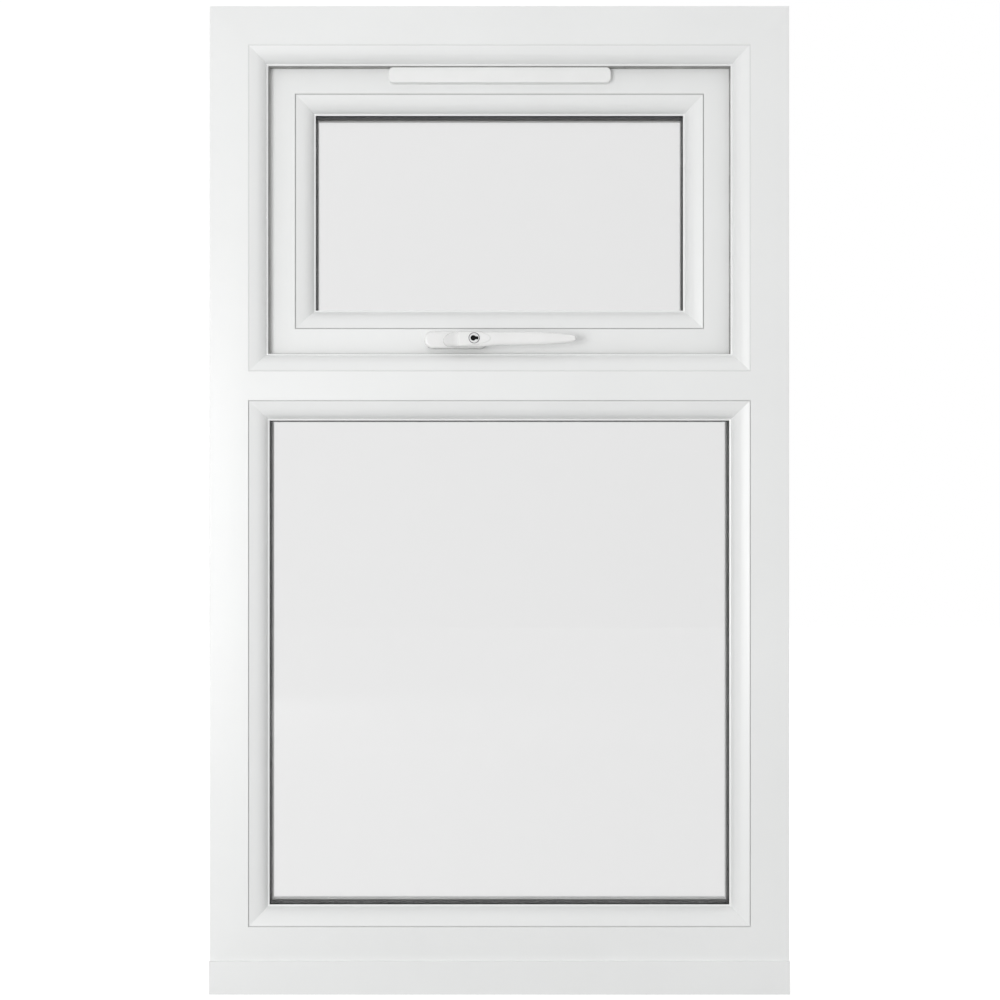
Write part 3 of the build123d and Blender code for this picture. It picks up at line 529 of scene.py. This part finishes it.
class FieldGroup(Tree):
    """A geometry node tree with named inputs."""

    def __init__(self, name: str) -> None:
        """Start a tree with a geometry input and output.

        Args:
            name: Name of the tree.
        """
        super().__init__(bpy.data.node_groups.new(name, "GeometryNodeTree"))
        for way in ("INPUT", "OUTPUT"):
            self.tree.interface.new_socket(
                "Geometry", in_out=way, socket_type="NodeSocketGeometry"
            )
        self.entry = self.node("NodeGroupInput")
        self.exit = self.node("NodeGroupOutput")
        self.identifiers: dict[str, str] = {}

    def value(self, name: str, kind: str) -> None:
        """Add a named input of that kind."""
        socket = self.tree.interface.new_socket(name, in_out="INPUT", socket_type=kind)
        self.identifiers[name] = socket.identifier

    def into(self, name: str) -> Socket:
        """Return the socket that gives a named input."""
        return self.entry.outputs[name]

    def finish(self, geometry: Socket) -> None:
        """Realize the geometry, set its material and send it out."""
        real = self.node("GeometryNodeRealizeInstances", {"Geometry": geometry})
        inputs = {"Geometry": real.outputs["Geometry"], "Material": self.into("Finish")}
        painted = self.node("GeometryNodeSetMaterial", inputs)
        self.join(painted.outputs["Geometry"], self.exit.inputs["Geometry"])

    def apply(self, piece: Piece, values: dict[str, object]) -> Piece:
        """Run the tree on an object and keep the result as a plain mesh.

        Args:
            piece: Object with the points that the tree reads.
            values: Values of the tree's named inputs.

        Returns:
            A new object with the plain mesh, under the name of the old one.
        """
        modifier = piece.modifiers.new("build", "NODES")
        modifier.node_group = self.tree
        for name, setting in values.items():
            modifier[self.identifiers[name]] = setting
        name = piece.name
        graph = bpy.context.evaluated_depsgraph_get()
        mesh = bpy.data.meshes.new_from_object(piece.evaluated_get(graph))
        bpy.data.objects.remove(piece)
        return linked(name, mesh)


def linked(name: str, data: bpy.types.ID) -> Piece:
    """Return a new object in the scene with that name and data."""
    made = bpy.data.objects.new(name, data)
    bpy.context.scene.collection.objects.link(made)
    return made


def mesh_object(name: str, form: Form) -> Piece:
    """Turn a bmesh, which is freed, into an object in the scene."""
    mesh = bpy.data.meshes.new(name)
    form.to_mesh(mesh)
    form.free()
    return linked(name, mesh)


def soft_shade_group(angle: float, weld: float = 0.000002) -> bpy.types.NodeTree:
    """Build the tree that smooths curved faces and keeps corners crisp.

    Args:
        angle: Angle between two faces, in degrees, above which their edge stays sharp.
        weld: Distance within which points are one.

    Returns:
        The node tree.
    """
    group = FieldGroup("soft_shade")
    welded = {"Geometry": group.into("Geometry"), "Distance": weld}
    merge = group.node("GeometryNodeMergeByDistance", welded)
    turn = group.node("GeometryNodeInputMeshEdgeAngle").outputs["Unsigned Angle"]
    steep = group.node(
        "FunctionNodeCompare",
        {0: turn, 1: math.radians(angle)},
        data_type="FLOAT",
        operation="GREATER_THAN",
    )
    inputs = {"Geometry": merge.outputs["Geometry"]}
    smooth = group.node("GeometryNodeSetShadeSmooth", inputs, domain="FACE")
    inputs = {
        "Geometry": smooth.outputs["Geometry"],
        "Selection": steep.outputs["Result"],
        "Shade Smooth": False,
    }
    crisp = group.node("GeometryNodeSetShadeSmooth", inputs, domain="EDGE")
    group.join(crisp.outputs["Geometry"], group.exit.inputs["Geometry"])
    return group.tree


@dataclass
class Carcase:
    """The CAD nodes that stay: profiles, beads, glass, packers and steel."""

    nodes: dict[str, Piece]
    palette: Palette
    crisp_angle: float = 28.0

    finishes: ClassVar = {
        "cap": "cap_plastic",
        "frame_head": "frame_across",
        "transom": "frame_across",
        "jamb": "frame_upright",
        "frame_sill": "upvc_across",
        "rail": "upvc_across",
        "cill": "upvc_across",
        "stile": "upvc_upright",
        "pane": "float_glass",
        "packers": "packer_blue",
        "spacer": "spacer_dark",
        "outer_gasket": "gasket_pale",
        "gasket": "gasket_black",
        "upstand_seal": "gasket_grey",
        "weather_seal": "gasket_black",
        "screws": "zinc_plate",
        "rivets": "stay_plate",
        "spindle": "lock_steel",
        "cylinder": "rim_chrome",
        "handle": "handle_coat",
        "vent": "vent_shell",
        "stay": "stay_plate",
        "lock": "lock_steel",
    }

    def finish_of(self, name: str) -> str:
        """Name the finish of a node: that of the first word found in its name."""
        light, _, side = name.partition("_bead_")
        if side:
            way = "upright" if side in ("left", "right") else "across"
            return f"{light}_bead_{way}"
        return next(finish for word, finish in self.finishes.items() if word in name)

    def dress(self) -> None:
        """Give every node its finish and smooth its curved faces."""
        tree = soft_shade_group(self.crisp_angle)
        for name, node in self.nodes.items():
            finish = self.palette[self.finish_of(name)]
            node.data.materials.clear()
            node.data.materials.append(finish)
            node.modifiers.new("soft_shade", "NODES").node_group = tree
            LOG.info("%s: %s", name, finish.name)


@dataclass(frozen=True)
class Seat:
    """Where a piece belongs: its body, the CAD node that it replaces and its material slot."""

    body: str
    node: str
    slot: str

    def take(self, piece: Piece) -> None:
        """Put a piece in this place."""
        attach(piece, self.body)
        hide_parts(self.node)

    def fill(self, name: str, form: Form, finish: bpy.types.Material) -> Piece:
        """Make a piece from a mesh and put it in this place.

        Args:
            name: Name of the piece.
            form: Its mesh.
            finish: Its material.

        Returns:
            The piece.
        """
        bmesh.ops.recalc_face_normals(form, faces=form.faces[:])
        piece = mesh_object(name, form)
        piece.data.materials.append(finish)
        self.take(piece)
        LOG.info("%s: %d faces", name, len(piece.data.polygons))
        return piece


def polar(reach: Callable[[float], float], steps: int, middle: Flat = (0.0, 0.0)) -> list[Flat]:
    """Return points round a middle.

    Args:
        reach: How far out the point at an angle is.
        steps: Number of points.
        middle: The middle.

    Returns:
        The points.
    """
    points = []
    for step in range(steps):
        angle = 2 * math.pi * step / steps
        out = reach(angle)
        points.append((middle[0] + out * math.cos(angle), middle[1] + out * math.sin(angle)))
    return points


def circle(radius: float, steps: int, middle: Flat = (0.0, 0.0)) -> list[Flat]:
    """Return points round a circle."""
    return polar(lambda _: radius, steps, middle)


def facing(form: Form, points: Iterable[Flat], depth: float) -> list:
    """Add a loop of vertices that faces the room, at a depth."""
    return [form.verts.new((x, depth, z)) for x, z in points]


def bridge(form: Form, loops: list[list], closed: bool = False) -> None:
    """Add the faces between neighbouring loops.

    Args:
        form: Mesh that gets the faces.
        loops: Loops of as many vertices each.
        closed: Whether the last loop joins the first.
    """
    for near, far in zip(loops, loops[1:] + (loops[:1] if closed else [])):
        for number, vertex in enumerate(near):
            after = (number + 1) % len(near)
            form.faces.new((vertex, near[after], far[after], far[number]))


def lathe(form: Form, rings: list[Flat], steps: int) -> list[list]:
    """Turn a line of (radius, height) points about Z.

    Args:
        form: Mesh that gets the faces.
        rings: Radius and height of each ring, in order.
        steps: Number of sides.

    Returns:
        The rings of vertices.
    """
    turned = [
        [form.verts.new((x, y, height)) for x, y in circle(radius, steps)]
        for radius, height in rings
    ]
    bridge(form, turned)
    return turned


def closed_edges(form: Form, loop: list) -> list:
    """Return the edges of a closed loop of vertices, and add those that it lacks."""
    pairs = zip(loop, loop[1:] + loop[:1])
    return [form.edges.get(pair) or form.edges.new(pair) for pair in pairs]


def bored_plate(
    form: Form, outline: list[Flat], hole: list[Flat], front: float, back: float
) -> None:
    """Add a plate that faces the room, with one hole through it.

    Args:
        form: Mesh that gets the faces.
        outline: Points (across, up) round the plate.
        hole: As many points round the hole, each in line with its outline point.
        front: Depth of the plate's face.
        back: Depth of its back.
    """
    walls = ((outline, back), (outline, front), (hole, front), (hole, back))
    bridge(form, [facing(form, points, depth) for points, depth in walls], closed=True)


@dataclass(frozen=True)
class Fixing:
    """One screw of a CAD node: where its head's outer face is and which way it points."""

    place: Vector
    axis: int
    sign: float
    head_radius: float
    length: float

    @property
    def turn(self) -> Point:
        """Euler angles that turn a screw drawn down the Z axis to this one."""
        if self.axis == 0:
            return (0.0, -self.sign * math.pi / 2, 0.0)
        if self.axis == 1:
            return (self.sign * math.pi / 2, 0.0, 0.0)
        return (0.0, 0.0, 0.0) if self.sign < 0 else (math.pi, 0.0, 0.0)

    @classmethod
    def read(cls, points: list[Vector], end_share: float = 0.98) -> Fixing:
        """Read a screw's place, direction and size off the points of its solid.

        Args:
            points: Points of the solid.
            end_share: Share of its half length beyond which a point is on an end.

        Returns:
            The fixing.
        """
        low = Vector([min(point[axis] for point in points) for axis in range(3)])
        high = Vector([max(point[axis] for point in points) for axis in range(3)])
        size = high - low
        axis = max(range(3), key=lambda number: size[number])
        place = (low + high) / 2
        half = size[axis] / 2
        reach = {-1.0: 0.0, 1.0: 0.0}
        for point in points:
            across = point - place
            along = across[axis]
            if abs(along) > end_share * half:
                across[axis] = 0.0
                side = math.copysign(1.0, along)
                reach[side] = max(reach[side], across.length)
        head = max(reach, key=reach.get)
        place[axis] += head * half
        return cls(place, axis, -head, reach[head], size[axis])


def islands(node: Piece, weld: float = 0.00001) -> list[list[Vector]]:
    """Return the points of each separate solid of a CAD node.

    Args:
        node: The CAD node.
        weld: Distance within which points are one.

    Returns:
        The points, solid by solid.
    """
    form = bmesh.new()
    form.from_mesh(node.data)
    bmesh.ops.remove_doubles(form, verts=form.verts[:], dist=weld)
    left = set(form.verts)
    groups = []
    while left:
        waiting = [left.pop()]
        group = []
        while waiting:
            vertex = waiting.pop()
            group.append(vertex.co.copy())
            near = {edge.other_vert(vertex) for edge in vertex.link_edges} & left
            left -= near
            waiting += near
        groups.append(group)
    form.free()
    return groups


@dataclass
class CrossScrews:
    """Cross-recessed screws, set by a node tree on the places of the CAD ones."""

    node: Piece
    body: str
    finish: bpy.types.Material
    countersunk: bool
    shank_share: float = 0.5
    head_share: float = 0.47
    cross_reach: float = 0.56
    cross_width: float = 0.15
    cross_depth: float = 0.42
    cross_taper: float = 0.55
    point_start: float = 0.9
    point_share: float = 0.2
    steps: int = 28

    dome: ClassVar = ((0.80, 0.0), (0.92, -0.10), (0.985, -0.30), (1.0, -0.6), (1.0, -1.0))
    flat: ClassVar = ((1.0, 0.0), (0.99, -0.05))

    def cross(self, form: Form, radius: float, share: float, depth: float) -> list:
        """Add one loop of the cross.

        Args:
            form: Mesh that gets the vertices.
            radius: Radius of the head.
            share: Share of the cross's full size.
            depth: Height of the loop.

        Returns:
            The loop.
        """
        reach = radius * self.cross_reach * share
        width = radius * self.cross_width * share
        loop = []
        for cosine, sine in ((1, 0), (0, 1), (-1, 0), (0, -1)):
            loop += [
                form.verts.new((x * cosine - y * sine, x * sine + y * cosine, depth))
                for x, y in ((reach, -width), (reach, width), (width, width))
            ]
        return loop

    def template(self, radius: float, length: float) -> Piece:
        """Model one screw, with its head at the origin and its point down the Z axis.

        Args:
            radius: Radius of the head.
            length: Length of the whole screw.

        Returns:
            The screw.
        """
        form = bmesh.new()
        shank = radius * self.shank_share
        height = radius * self.head_share
        head = self.flat if self.countersunk else self.dome
        rings = [(radius * wide, height * drop) for wide, drop in head]
        rings += [(shank, -height), (shank, -length * self.point_start)]
        rings.append((shank * self.point_share, -length))
        turned = lathe(form, rings, self.steps)
        form.faces.new(turned[-1])
        rim = self.cross(form, radius, 1.0, 0.0)
        floor = self.cross(form, radius, self.cross_taper, -radius * self.cross_depth)
        edges = closed_edges(form, turned[0]) + closed_edges(form, rim)
        bmesh.ops.triangle_fill(form, edges=edges, use_beauty=True)
        bridge(form, [rim, floor])
        form.faces.new(floor)
        bmesh.ops.recalc_face_normals(form, faces=form.faces[:])
        return mesh_object("screw_pattern", form)

    def group(self) -> FieldGroup:
        """Build the tree that puts a screw on every point, turned as the point says."""
        group = FieldGroup("screws_on_points")
        group.value("Screw", "NodeSocketObject")
        group.value("Finish", "NodeSocketMaterial")
        pattern = group.node(
            "GeometryNodeObjectInfo", {"Object": group.into("Screw")}, transform_space="ORIGINAL"
        )
        turn, size = (
            group.node(
                "GeometryNodeInputNamedAttribute", {"Name": name}, data_type="FLOAT_VECTOR"
            ).outputs["Attribute"]
            for name in ("turn", "size")
        )
        points = group.node("GeometryNodeMeshToPoints", {"Mesh": group.into("Geometry")})
        inputs = {
            "Points": points.outputs["Points"],
            "Instance": pattern.outputs["Geometry"],
            "Rotation": turn,
            "Scale": size,
        }
        set_out = group.node("GeometryNodeInstanceOnPoints", inputs)
        group.finish(set_out.outputs["Instances"])
        return group

    def build(self) -> None:
        """Replace the CAD screws."""
        name = self.node.name
        fixings = [Fixing.read(points) for points in islands(self.node)]
        length = min(fixing.length for fixing in fixings)
        pattern = self.template(fixings[0].head_radius, length)
        mesh = bpy.data.meshes.new(f"{name}_places")
        mesh.from_pydata([fixing.place for fixing in fixings], [], [])
        turns = mesh.attributes.new("turn", "FLOAT_VECTOR", "POINT")
        sizes = mesh.attributes.new("size", "FLOAT_VECTOR", "POINT")
        for number, fixing in enumerate(fixings):
            turns.data[number].vector = fixing.turn
            sizes.data[number].vector = (1.0, 1.0, fixing.length / length)
        values = {"Screw": pattern, "Finish": self.finish}
        screws = self.group().apply(linked(f"{name}_cross", mesh), values)
        bpy.data.objects.remove(pattern)
        Seat(self.body, name, "zinc_steel").take(screws)
        LOG.info("%s: %d screws", screws.name, len(fixings))


@dataclass(frozen=True)
class Ring:
    """A rectangle seen from the room, whose sides a mitred section follows."""

    left: float
    right: float
    low: float
    high: float

    @classmethod
    def outside(cls, box: tuple[Vector, Vector], right: float = 0.0, up: float = 0.0) -> Ring:
        """Return the outside of a CAD node's box, moved to the right and up."""
        low, high = box
        return cls(low[0] + right, high[0] + right, low[2] + up, high[2] + up)

    def corners(self, run: float) -> list[Flat]:
        """Return its corners, drawn in by a run."""
        left, right = self.left + run, self.right - run
        low, high = self.low + run, self.high - run
        return [(left, low), (left, high), (right, high), (right, low)]


@dataclass
class Seal:
    """A rubber seal that runs round a light: one section, mitred at the corners."""

    name: str
    seat: Seat
    ring: Ring
    section: list[Flat]
    finish: bpy.types.Material
    soften: float = 0.00025
    soft_angle: float = 30.0

    def build(self) -> None:
        """Loft the section round the ring and round its edges a little."""
        form = bmesh.new()
        loops = [facing(form, self.ring.corners(run), depth) for run, depth in self.section]
        bridge(form, loops, closed=True)
        seal = self.seat.fill(self.name, form, self.finish)
        bevel = seal.modifiers.new("soften", "BEVEL")
        bevel.width = self.soften
        bevel.segments = 2
        bevel.angle_limit = math.radians(self.soft_angle)


@dataclass
class Weatherstrip:
    """The two seals between frame and sash."""

    palette: Palette
    slot: str = "gasket_rubber"
    sight: float = 0.0100
    lip_reach: float = 0.0005
    lip_near: float = 0.0060
    lip_right: float = 0.0003
    lip_down: float = 0.0002
    weather_width: float = 0.0045
    fold: float = 0.0004

    def upstand(self) -> Seal:
        """Return the seal behind the frame's upstand, which shows as a thin line."""
        low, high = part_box("upstand_seal")
        lip = self.sight + self.lip_reach
        section = [
            (0.0, low[1]),
            (self.sight, low[1]),
            (self.sight, low[1] - self.lip_near),
            (lip, low[1] - self.lip_near),
            (lip + self.fold, high[1] - self.fold),
            (lip, high[1]),
            (0.0, high[1]),
        ]
        ring = Ring.outside((low, high), self.lip_right, -self.lip_down)
        seat = Seat("frame", "upstand_seal", self.slot)
        return Seal("upstand_lip", seat, ring, section, self.palette["gasket_grey"])

    def weather(self) -> Seal:
        """Return the seal round the sash's outer flange."""
        low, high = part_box("weather_seal")
        wide = self.weather_width
        section = [
            (0.0, high[1]),
            (0.0, high[1] - self.fold),
            ((wide - self.fold) / 2, low[1]),
            ((wide + self.fold) / 2, low[1]),
            (wide, high[1] - self.fold),
            (wide, high[1]),
        ]
        seat = Seat("sash", "weather_seal", self.slot)
        ring = Ring.outside((low, high))
        return Seal("weather_lip", seat, ring, section, self.palette["gasket_black"])

    def build(self) -> None:
        """Replace both CAD seals."""
        self.upstand().build()
        self.weather().build()


@dataclass
class LockCylinder:
    """The lock in the lever: a metal rim, a pale face and a dark keyhole."""

    palette: Palette
    steps: int = 120
    rim: float = 0.0007
    rim_overlap: float = 0.0003
    face_drop: float = 0.0002
    hole_radius: float = 0.0029
    hole_half_height: float = 0.0016
    hole_reach: float = 0.0053
    hole_shift: float = -0.0009
    hole_depth: float = 0.0022
    shade_lift: float = 0.0004

    def hole_at(self, angle: float) -> float:
        """Return the keyhole's radius at an angle: a round hole with a slot to one side."""
        reach = self.hole_radius
        if math.cos(angle) > 0.0:
            rise = abs(math.sin(angle))
            slot = self.hole_reach / math.cos(angle)
            if rise > 0.0:
                slot = min(slot, self.hole_half_height / rise)
            reach = max(reach, slot)
        return reach

    def build(self) -> None:
        """Replace the CAD cylinder."""
        low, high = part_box("lock_cylinder")
        middle = ((low[0] + high[0]) / 2, (low[2] + high[2]) / 2)
        radius = (high[0] - low[0]) / 2 + self.rim_overlap
        front = low[1]
        level = front + self.face_drop
        bottom = level + self.hole_depth
        outer = circle(radius, self.steps, middle)
        inner = circle(radius - self.rim, self.steps, middle)
        keyhole = polar(self.hole_at, self.steps, (middle[0] + self.hole_shift, middle[1]))
        rim, face, shade = bmesh.new(), bmesh.new(), bmesh.new()
        bored_plate(rim, outer, inner, front, high[1])
        bored_plate(face, inner, keyhole, level, bottom)
        # A black sheet on the keyhole's floor: painted shade in the hole.
        shade.faces.new(facing(shade, keyhole, bottom - self.shade_lift))
        seat = Seat("key_cylinder", "lock_cylinder", "lock_chrome")
        seat.fill("lock_rim", rim, self.palette["rim_chrome"])
        seat.fill("lock_face", face, self.palette["lock_face"])
        seat.fill("keyhole_shade", shade, self.palette["keyhole_black"])


@dataclass
class Lever:
    """The handle's lever: a broad head round the lock that narrows to a blunt tip."""

    palette: Palette
    around: int = 64
    long_step: float = 0.0014
    end_steps: int = 22
    end_run: float = 0.017
    end_level: float = -0.002
    end_low_run: float = 0.006
    high_half: float = 0.0067
    low_half: float = 0.0074
    belly: float = 0.0088
    belly_end: float = 0.039
    belly_fall: float = 0.021
    taper_run: float = 0.0800
    taper_power: float = 1.9
    taper_root: float = 3.6
    squareness: float = 3.2
    thickness: float = 0.0094
    edge_round: float = 0.0020
    neck_radius: float = 0.0070
    neck_steps: int = 40
    neck_sink: float = 0.002
    neck_clear: float = 0.0003
    pad_start: float = 0.0160
    pad_tip: float = 0.0501
    pad_half: float = 0.0082
    pad_power: float = 2.1
    pad_steps: int = 48
    pad_rise: float = 0.0008
    pad_sink: float = 0.0012
    pad_edge: float = 0.0006
    pad_margin: float = 0.0004
    bore: float = 0.0050

    def __post_init__(self) -> None:
        """Read the lever's place off the CAD nodes."""
        low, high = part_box("handle_lever")
        lock_low, lock_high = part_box("lock_cylinder")
        self.start = low[0]
        self.length = high[0] - low[0]
        self.pad_front = low[1]
        self.front = low[1] + self.pad_rise
        self.back = self.front + self.thickness
        self.lock_x = (lock_low[0] + lock_high[0]) / 2
        self.axis = (lock_low[2] + lock_high[2]) / 2
        self.seat = Seat("handle", "handle_lever", "handle_paint")

    def edges(self, along: float) -> Flat:
        """Return how far the lever reaches down and up from its axis.

        Args:
            along: Distance from its broad end.

        Returns:
            The lower and the upper edge.
        """
        fall = min(1.0, max(0.0, (along - self.belly_end) / self.belly_fall))
        fall = fall * fall * (3 - 2 * fall)
        low = -(self.belly + (self.low_half - self.belly) * fall)
        round_high = max(0.0, 1 - along / self.end_run)
        round_low = max(0.0, 1 - along / self.end_low_run)
        high = self.end_level + (self.high_half - self.end_level) * math.sqrt(1 - round_high**2)
        low = self.end_level + (low - self.end_level) * math.sqrt(1 - round_low**2)
        left = min(1.0, max(0.0, (self.length - along) / self.taper_run))
        share = (1 - (1 - left) ** self.taper_power) ** (1 / self.taper_root)
        return low * share, high * share

    def stations(self) -> list[float]:
        """Return the places of the rings, closer together at both ends."""
        turns = [1 - math.cos(math.pi / 2 * n / self.end_steps) for n in range(1, self.end_steps)]
        start = [self.end_run * turn for turn in turns]
        middle = self.length - 2 * self.end_run
        count = round(middle / self.long_step)
        even = [self.end_run + middle * n / count for n in range(count + 1)]
        return start + even + [self.length - place for place in reversed(start)]

    def ring(self, form: Form, along: float) -> list:
        """Add one ring of the lever, a rounded oblong that is pressed in under the lock.

        Args:
            form: Mesh that gets the vertices.
            along: Distance of the ring from the broad end.

        Returns:
            The ring.
        """
        down, up = self.edges(along)
        nearest = min(along, self.length - along)
        rounded = math.sqrt(1 - max(0.0, 1 - nearest / self.edge_round) ** 2)
        power = 2.0 / self.squareness
        x = self.start + along
        ring = []
        for cosine, sine in circle(1.0, self.around):
            across = math.copysign(abs(cosine) ** power, cosine)
            depth = math.copysign(abs(sine) ** power, sine)
            z = (up + down) / 2 + across * (up - down) / 2
            y = (self.front + self.back) / 2 - depth * rounded * self.thickness / 2
            if depth > 0 and math.hypot(x - self.lock_x, z) < self.bore:
                y = self.front + self.thickness / 2
            ring.append(form.verts.new((x, y, self.axis + z)))
        return ring

    def shell(self) -> None:
        """Loft the lever and add the neck that joins it to its base."""
        form = bmesh.new()
        rings = [self.ring(form, along) for along in self.stations()]
        spindle_low, spindle_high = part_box("handle_spindle")
        middle = ((spindle_low[0] + spindle_high[0]) / 2, self.axis)
        base_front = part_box("handle_base")[0][1]
        points = circle(self.neck_radius, self.neck_steps, middle)
        ends = (self.back - self.neck_sink, base_front - self.neck_clear)
        neck = [facing(form, points, depth) for depth in ends]
        for loops in (rings, neck):
            bridge(form, loops)
            form.faces.new(loops[0])
            form.faces.new(loops[-1])
        lever = self.seat.fill("lever_form", form, self.palette["lever_coat"])
        lever.data.polygons.foreach_set("use_smooth", [True] * len(lever.data.polygons))

    def pad_outline(self) -> list[Flat]:
        """Return the outline of the raised almond round the lock, from its broad end."""
        low_side = []
        high_side = []
        for number in range(self.pad_steps + 1):
            share = math.sin(math.pi / 2 * number / self.pad_steps)
            along = self.pad_start + (self.pad_tip - self.pad_start) * share
            half = self.pad_half * math.sqrt(max(0.0, 1 - share**self.pad_power))
            low, high = self.edges(along)
            x = self.start + along
            low_side.append((x, self.axis + max(-half, low + self.pad_margin)))
            high_side.append((x, self.axis + min(half, high - self.pad_margin)))
        return low_side + high_side[-2::-1]

    def pad(self) -> None:
        """Raise the almond round the lock, with a bevelled edge."""
        form = bmesh.new()
        outline = self.pad_outline()
        hole = []
        for x, z in outline:
            angle = math.atan2(z - self.axis, x - self.lock_x)
            across, up = self.bore * math.cos(angle), self.bore * math.sin(angle)
            hole.append((self.lock_x + across, self.axis + up))
        bored_plate(form, outline, hole, self.pad_front, self.front + self.pad_sink)
        pad = self.seat.fill("lever_pad", form, self.palette["lever_coat"])
        edge = pad.modifiers.new("eased_edge", "BEVEL")
        edge.width = self.pad_edge
        edge.segments = 1
        edge.limit_method = "ANGLE"

    def build(self) -> None:
        """Replace the CAD lever."""
        self.shell()
        self.pad()


class WorldGraph(Tree):
    """The node tree of a new world, which the scene takes."""

    def __init__(self, name: str) -> None:
        """Start an empty tree.

        Args:
            name: Name of the world.
        """
        world = bpy.data.worlds.new(name)
        world.use_nodes = True
        bpy.context.scene.world = world
        super().__init__(world.node_tree)
        self.output = self.node("ShaderNodeOutputWorld")


@dataclass
class Studio:
    """Floor, lights and the camera at the photograph's place."""

    camera_back: float = 2.1
    camera_height: float = 0.52
    camera_side: float = 0.00063
    lens: float = 71.82
    sensor: float = 36.0
    clip: Flat = (0.05, 50.0)
    ambient: float = 0.72
    mirrored: float = 0.25
    aim: Point = (0.0, 0.0, 0.5)
    key_energy: float = 34.0
    key_place: Point = (-1.2, -2.9, 0.45)
    key_size: float = 1.0
    fill_energy: float = 24.0
    fill_place: Point = (-0.4, 2.2, 2.3)
    fill_size: float = 2.0
    floor_half: float = 6.0
    floor_colour: Colour = (0.6, 0.6, 0.6)
    floor_lift: float = 0.62
    backdrop_left: float = 1.04
    backdrop_slope: float = 0.1

    def backdrop_strength(self, graph: Tree, across: Socket) -> Socket:
        """Return the strength of the white backdrop, a little more towards the left."""
        slope = self.backdrop_slope
        return graph.spread(across, self.backdrop_left, 1.0, -slope, slope)

    def floor(self) -> None:
        """Make the pale floor, which looks white but keeps the object's shadow."""
        form = bmesh.new()
        bmesh.ops.create_grid(form, x_segments=1, y_segments=1, size=self.floor_half)
        floor = mesh_object("floor", form)
        graph = Graph("floor_paper")
        path = graph.node("ShaderNodeLightPath").outputs
        paper = graph.node("ShaderNodeBsdfDiffuse", {"Color": (*self.floor_colour, 1.0)})
        lift = graph.math("MULTIPLY", path["Is Camera Ray"], self.floor_lift)
        glow = graph.node("ShaderNodeEmission", {"Strength": lift})
        lit = graph.node("ShaderNodeAddShader", {0: paper.outputs[0], 1: glow.outputs[0]})
        parts = graph.parts()
        slope = graph.math("DIVIDE", parts["X"], graph.math("ADD", parts["Y"], self.camera_back))
        strength = self.backdrop_strength(graph, slope)
        backdrop = graph.node("ShaderNodeEmission", {"Strength": strength})
        inputs = {0: path["Is Transmission Ray"], 1: lit.outputs[0], 2: backdrop.outputs[0]}
        shown = graph.node("ShaderNodeMixShader", inputs)
        graph.join(shown.outputs["Shader"], graph.output.inputs["Surface"])
        floor.data.materials.append(graph.material)

    def world(self) -> None:
        """Light the room evenly and show it white."""
        graph = WorldGraph("studio")
        path = graph.node("ShaderNodeLightPath").outputs
        direction = graph.node("ShaderNodeTexCoord").outputs["Generated"]
        parts = graph.node("ShaderNodeSeparateXYZ", {"Vector": direction}).outputs
        seen = graph.math("MAXIMUM", path["Is Camera Ray"], path["Is Transmission Ray"])
        unseen = graph.spread(path["Is Glossy Ray"], self.ambient, self.mirrored, 0.0, 1.0)
        shown = self.backdrop_strength(graph, parts["X"])
        strength = graph.spread(seen, unseen, shown, 0.0, 1.0)
        inputs = {"Color": (1.0, 1.0, 1.0, 1.0), "Strength": strength}
        background = graph.node("ShaderNodeBackground", inputs)
        graph.join(background.outputs["Background"], graph.output.inputs["Surface"])

    def lamp(self, name: str, place: Point, size: float, energy: float) -> None:
        """Hang one soft lamp that points at the window.

        Args:
            name: Name of the lamp.
            place: Where it hangs.
            size: Side of its square face in metres.
            energy: Its power in watts.
        """
        data = bpy.data.lights.new(name, "AREA")
        data.size = size
        data.energy = energy
        lamp = linked(name, data)
        lamp.location = place
        line = Vector(self.aim) - Vector(place)
        lamp.rotation_euler = line.to_track_quat("-Z", "Y").to_euler()

    def camera(self) -> None:
        """Set the camera at the photograph's angle, without depth of field."""
        data = bpy.data.cameras.new("camera")
        data.lens = self.lens
        data.sensor_width = self.sensor
        data.clip_start, data.clip_end = self.clip
        camera = linked("camera", data)
        camera.location = (self.camera_side, -self.camera_back, self.camera_height)
        camera.rotation_euler = (math.radians(90.0), 0.0, 0.0)
        bpy.context.scene.camera = camera

    def build(self) -> None:
        """Make the whole studio."""
        self.floor()
        self.world()
        self.lamp("key", self.key_place, self.key_size, self.key_energy)
        self.lamp("fill", self.fill_place, self.fill_size, self.fill_energy)
        self.camera()
        bpy.context.scene.view_settings.view_transform = "Standard"


def main() -> None:
    """Load the frame, dress it and set up the studio."""
    logging.basicConfig(level=logging.INFO)
    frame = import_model()
    palette = Palette(Joints.read())
    nodes = frame["nodes"]
    Carcase(nodes, palette).dress()
    zinc = palette["zinc_plate"]
    CrossScrews(nodes["frame_screws"], "frame", zinc, countersunk=False).build()
    CrossScrews(nodes["sash_screws"], "sash", zinc, countersunk=True).build()
    Weatherstrip(palette).build()
    LockCylinder(palette).build()
    Lever(palette).build()
    Studio().build()


if __name__ == "__main__":
    main()
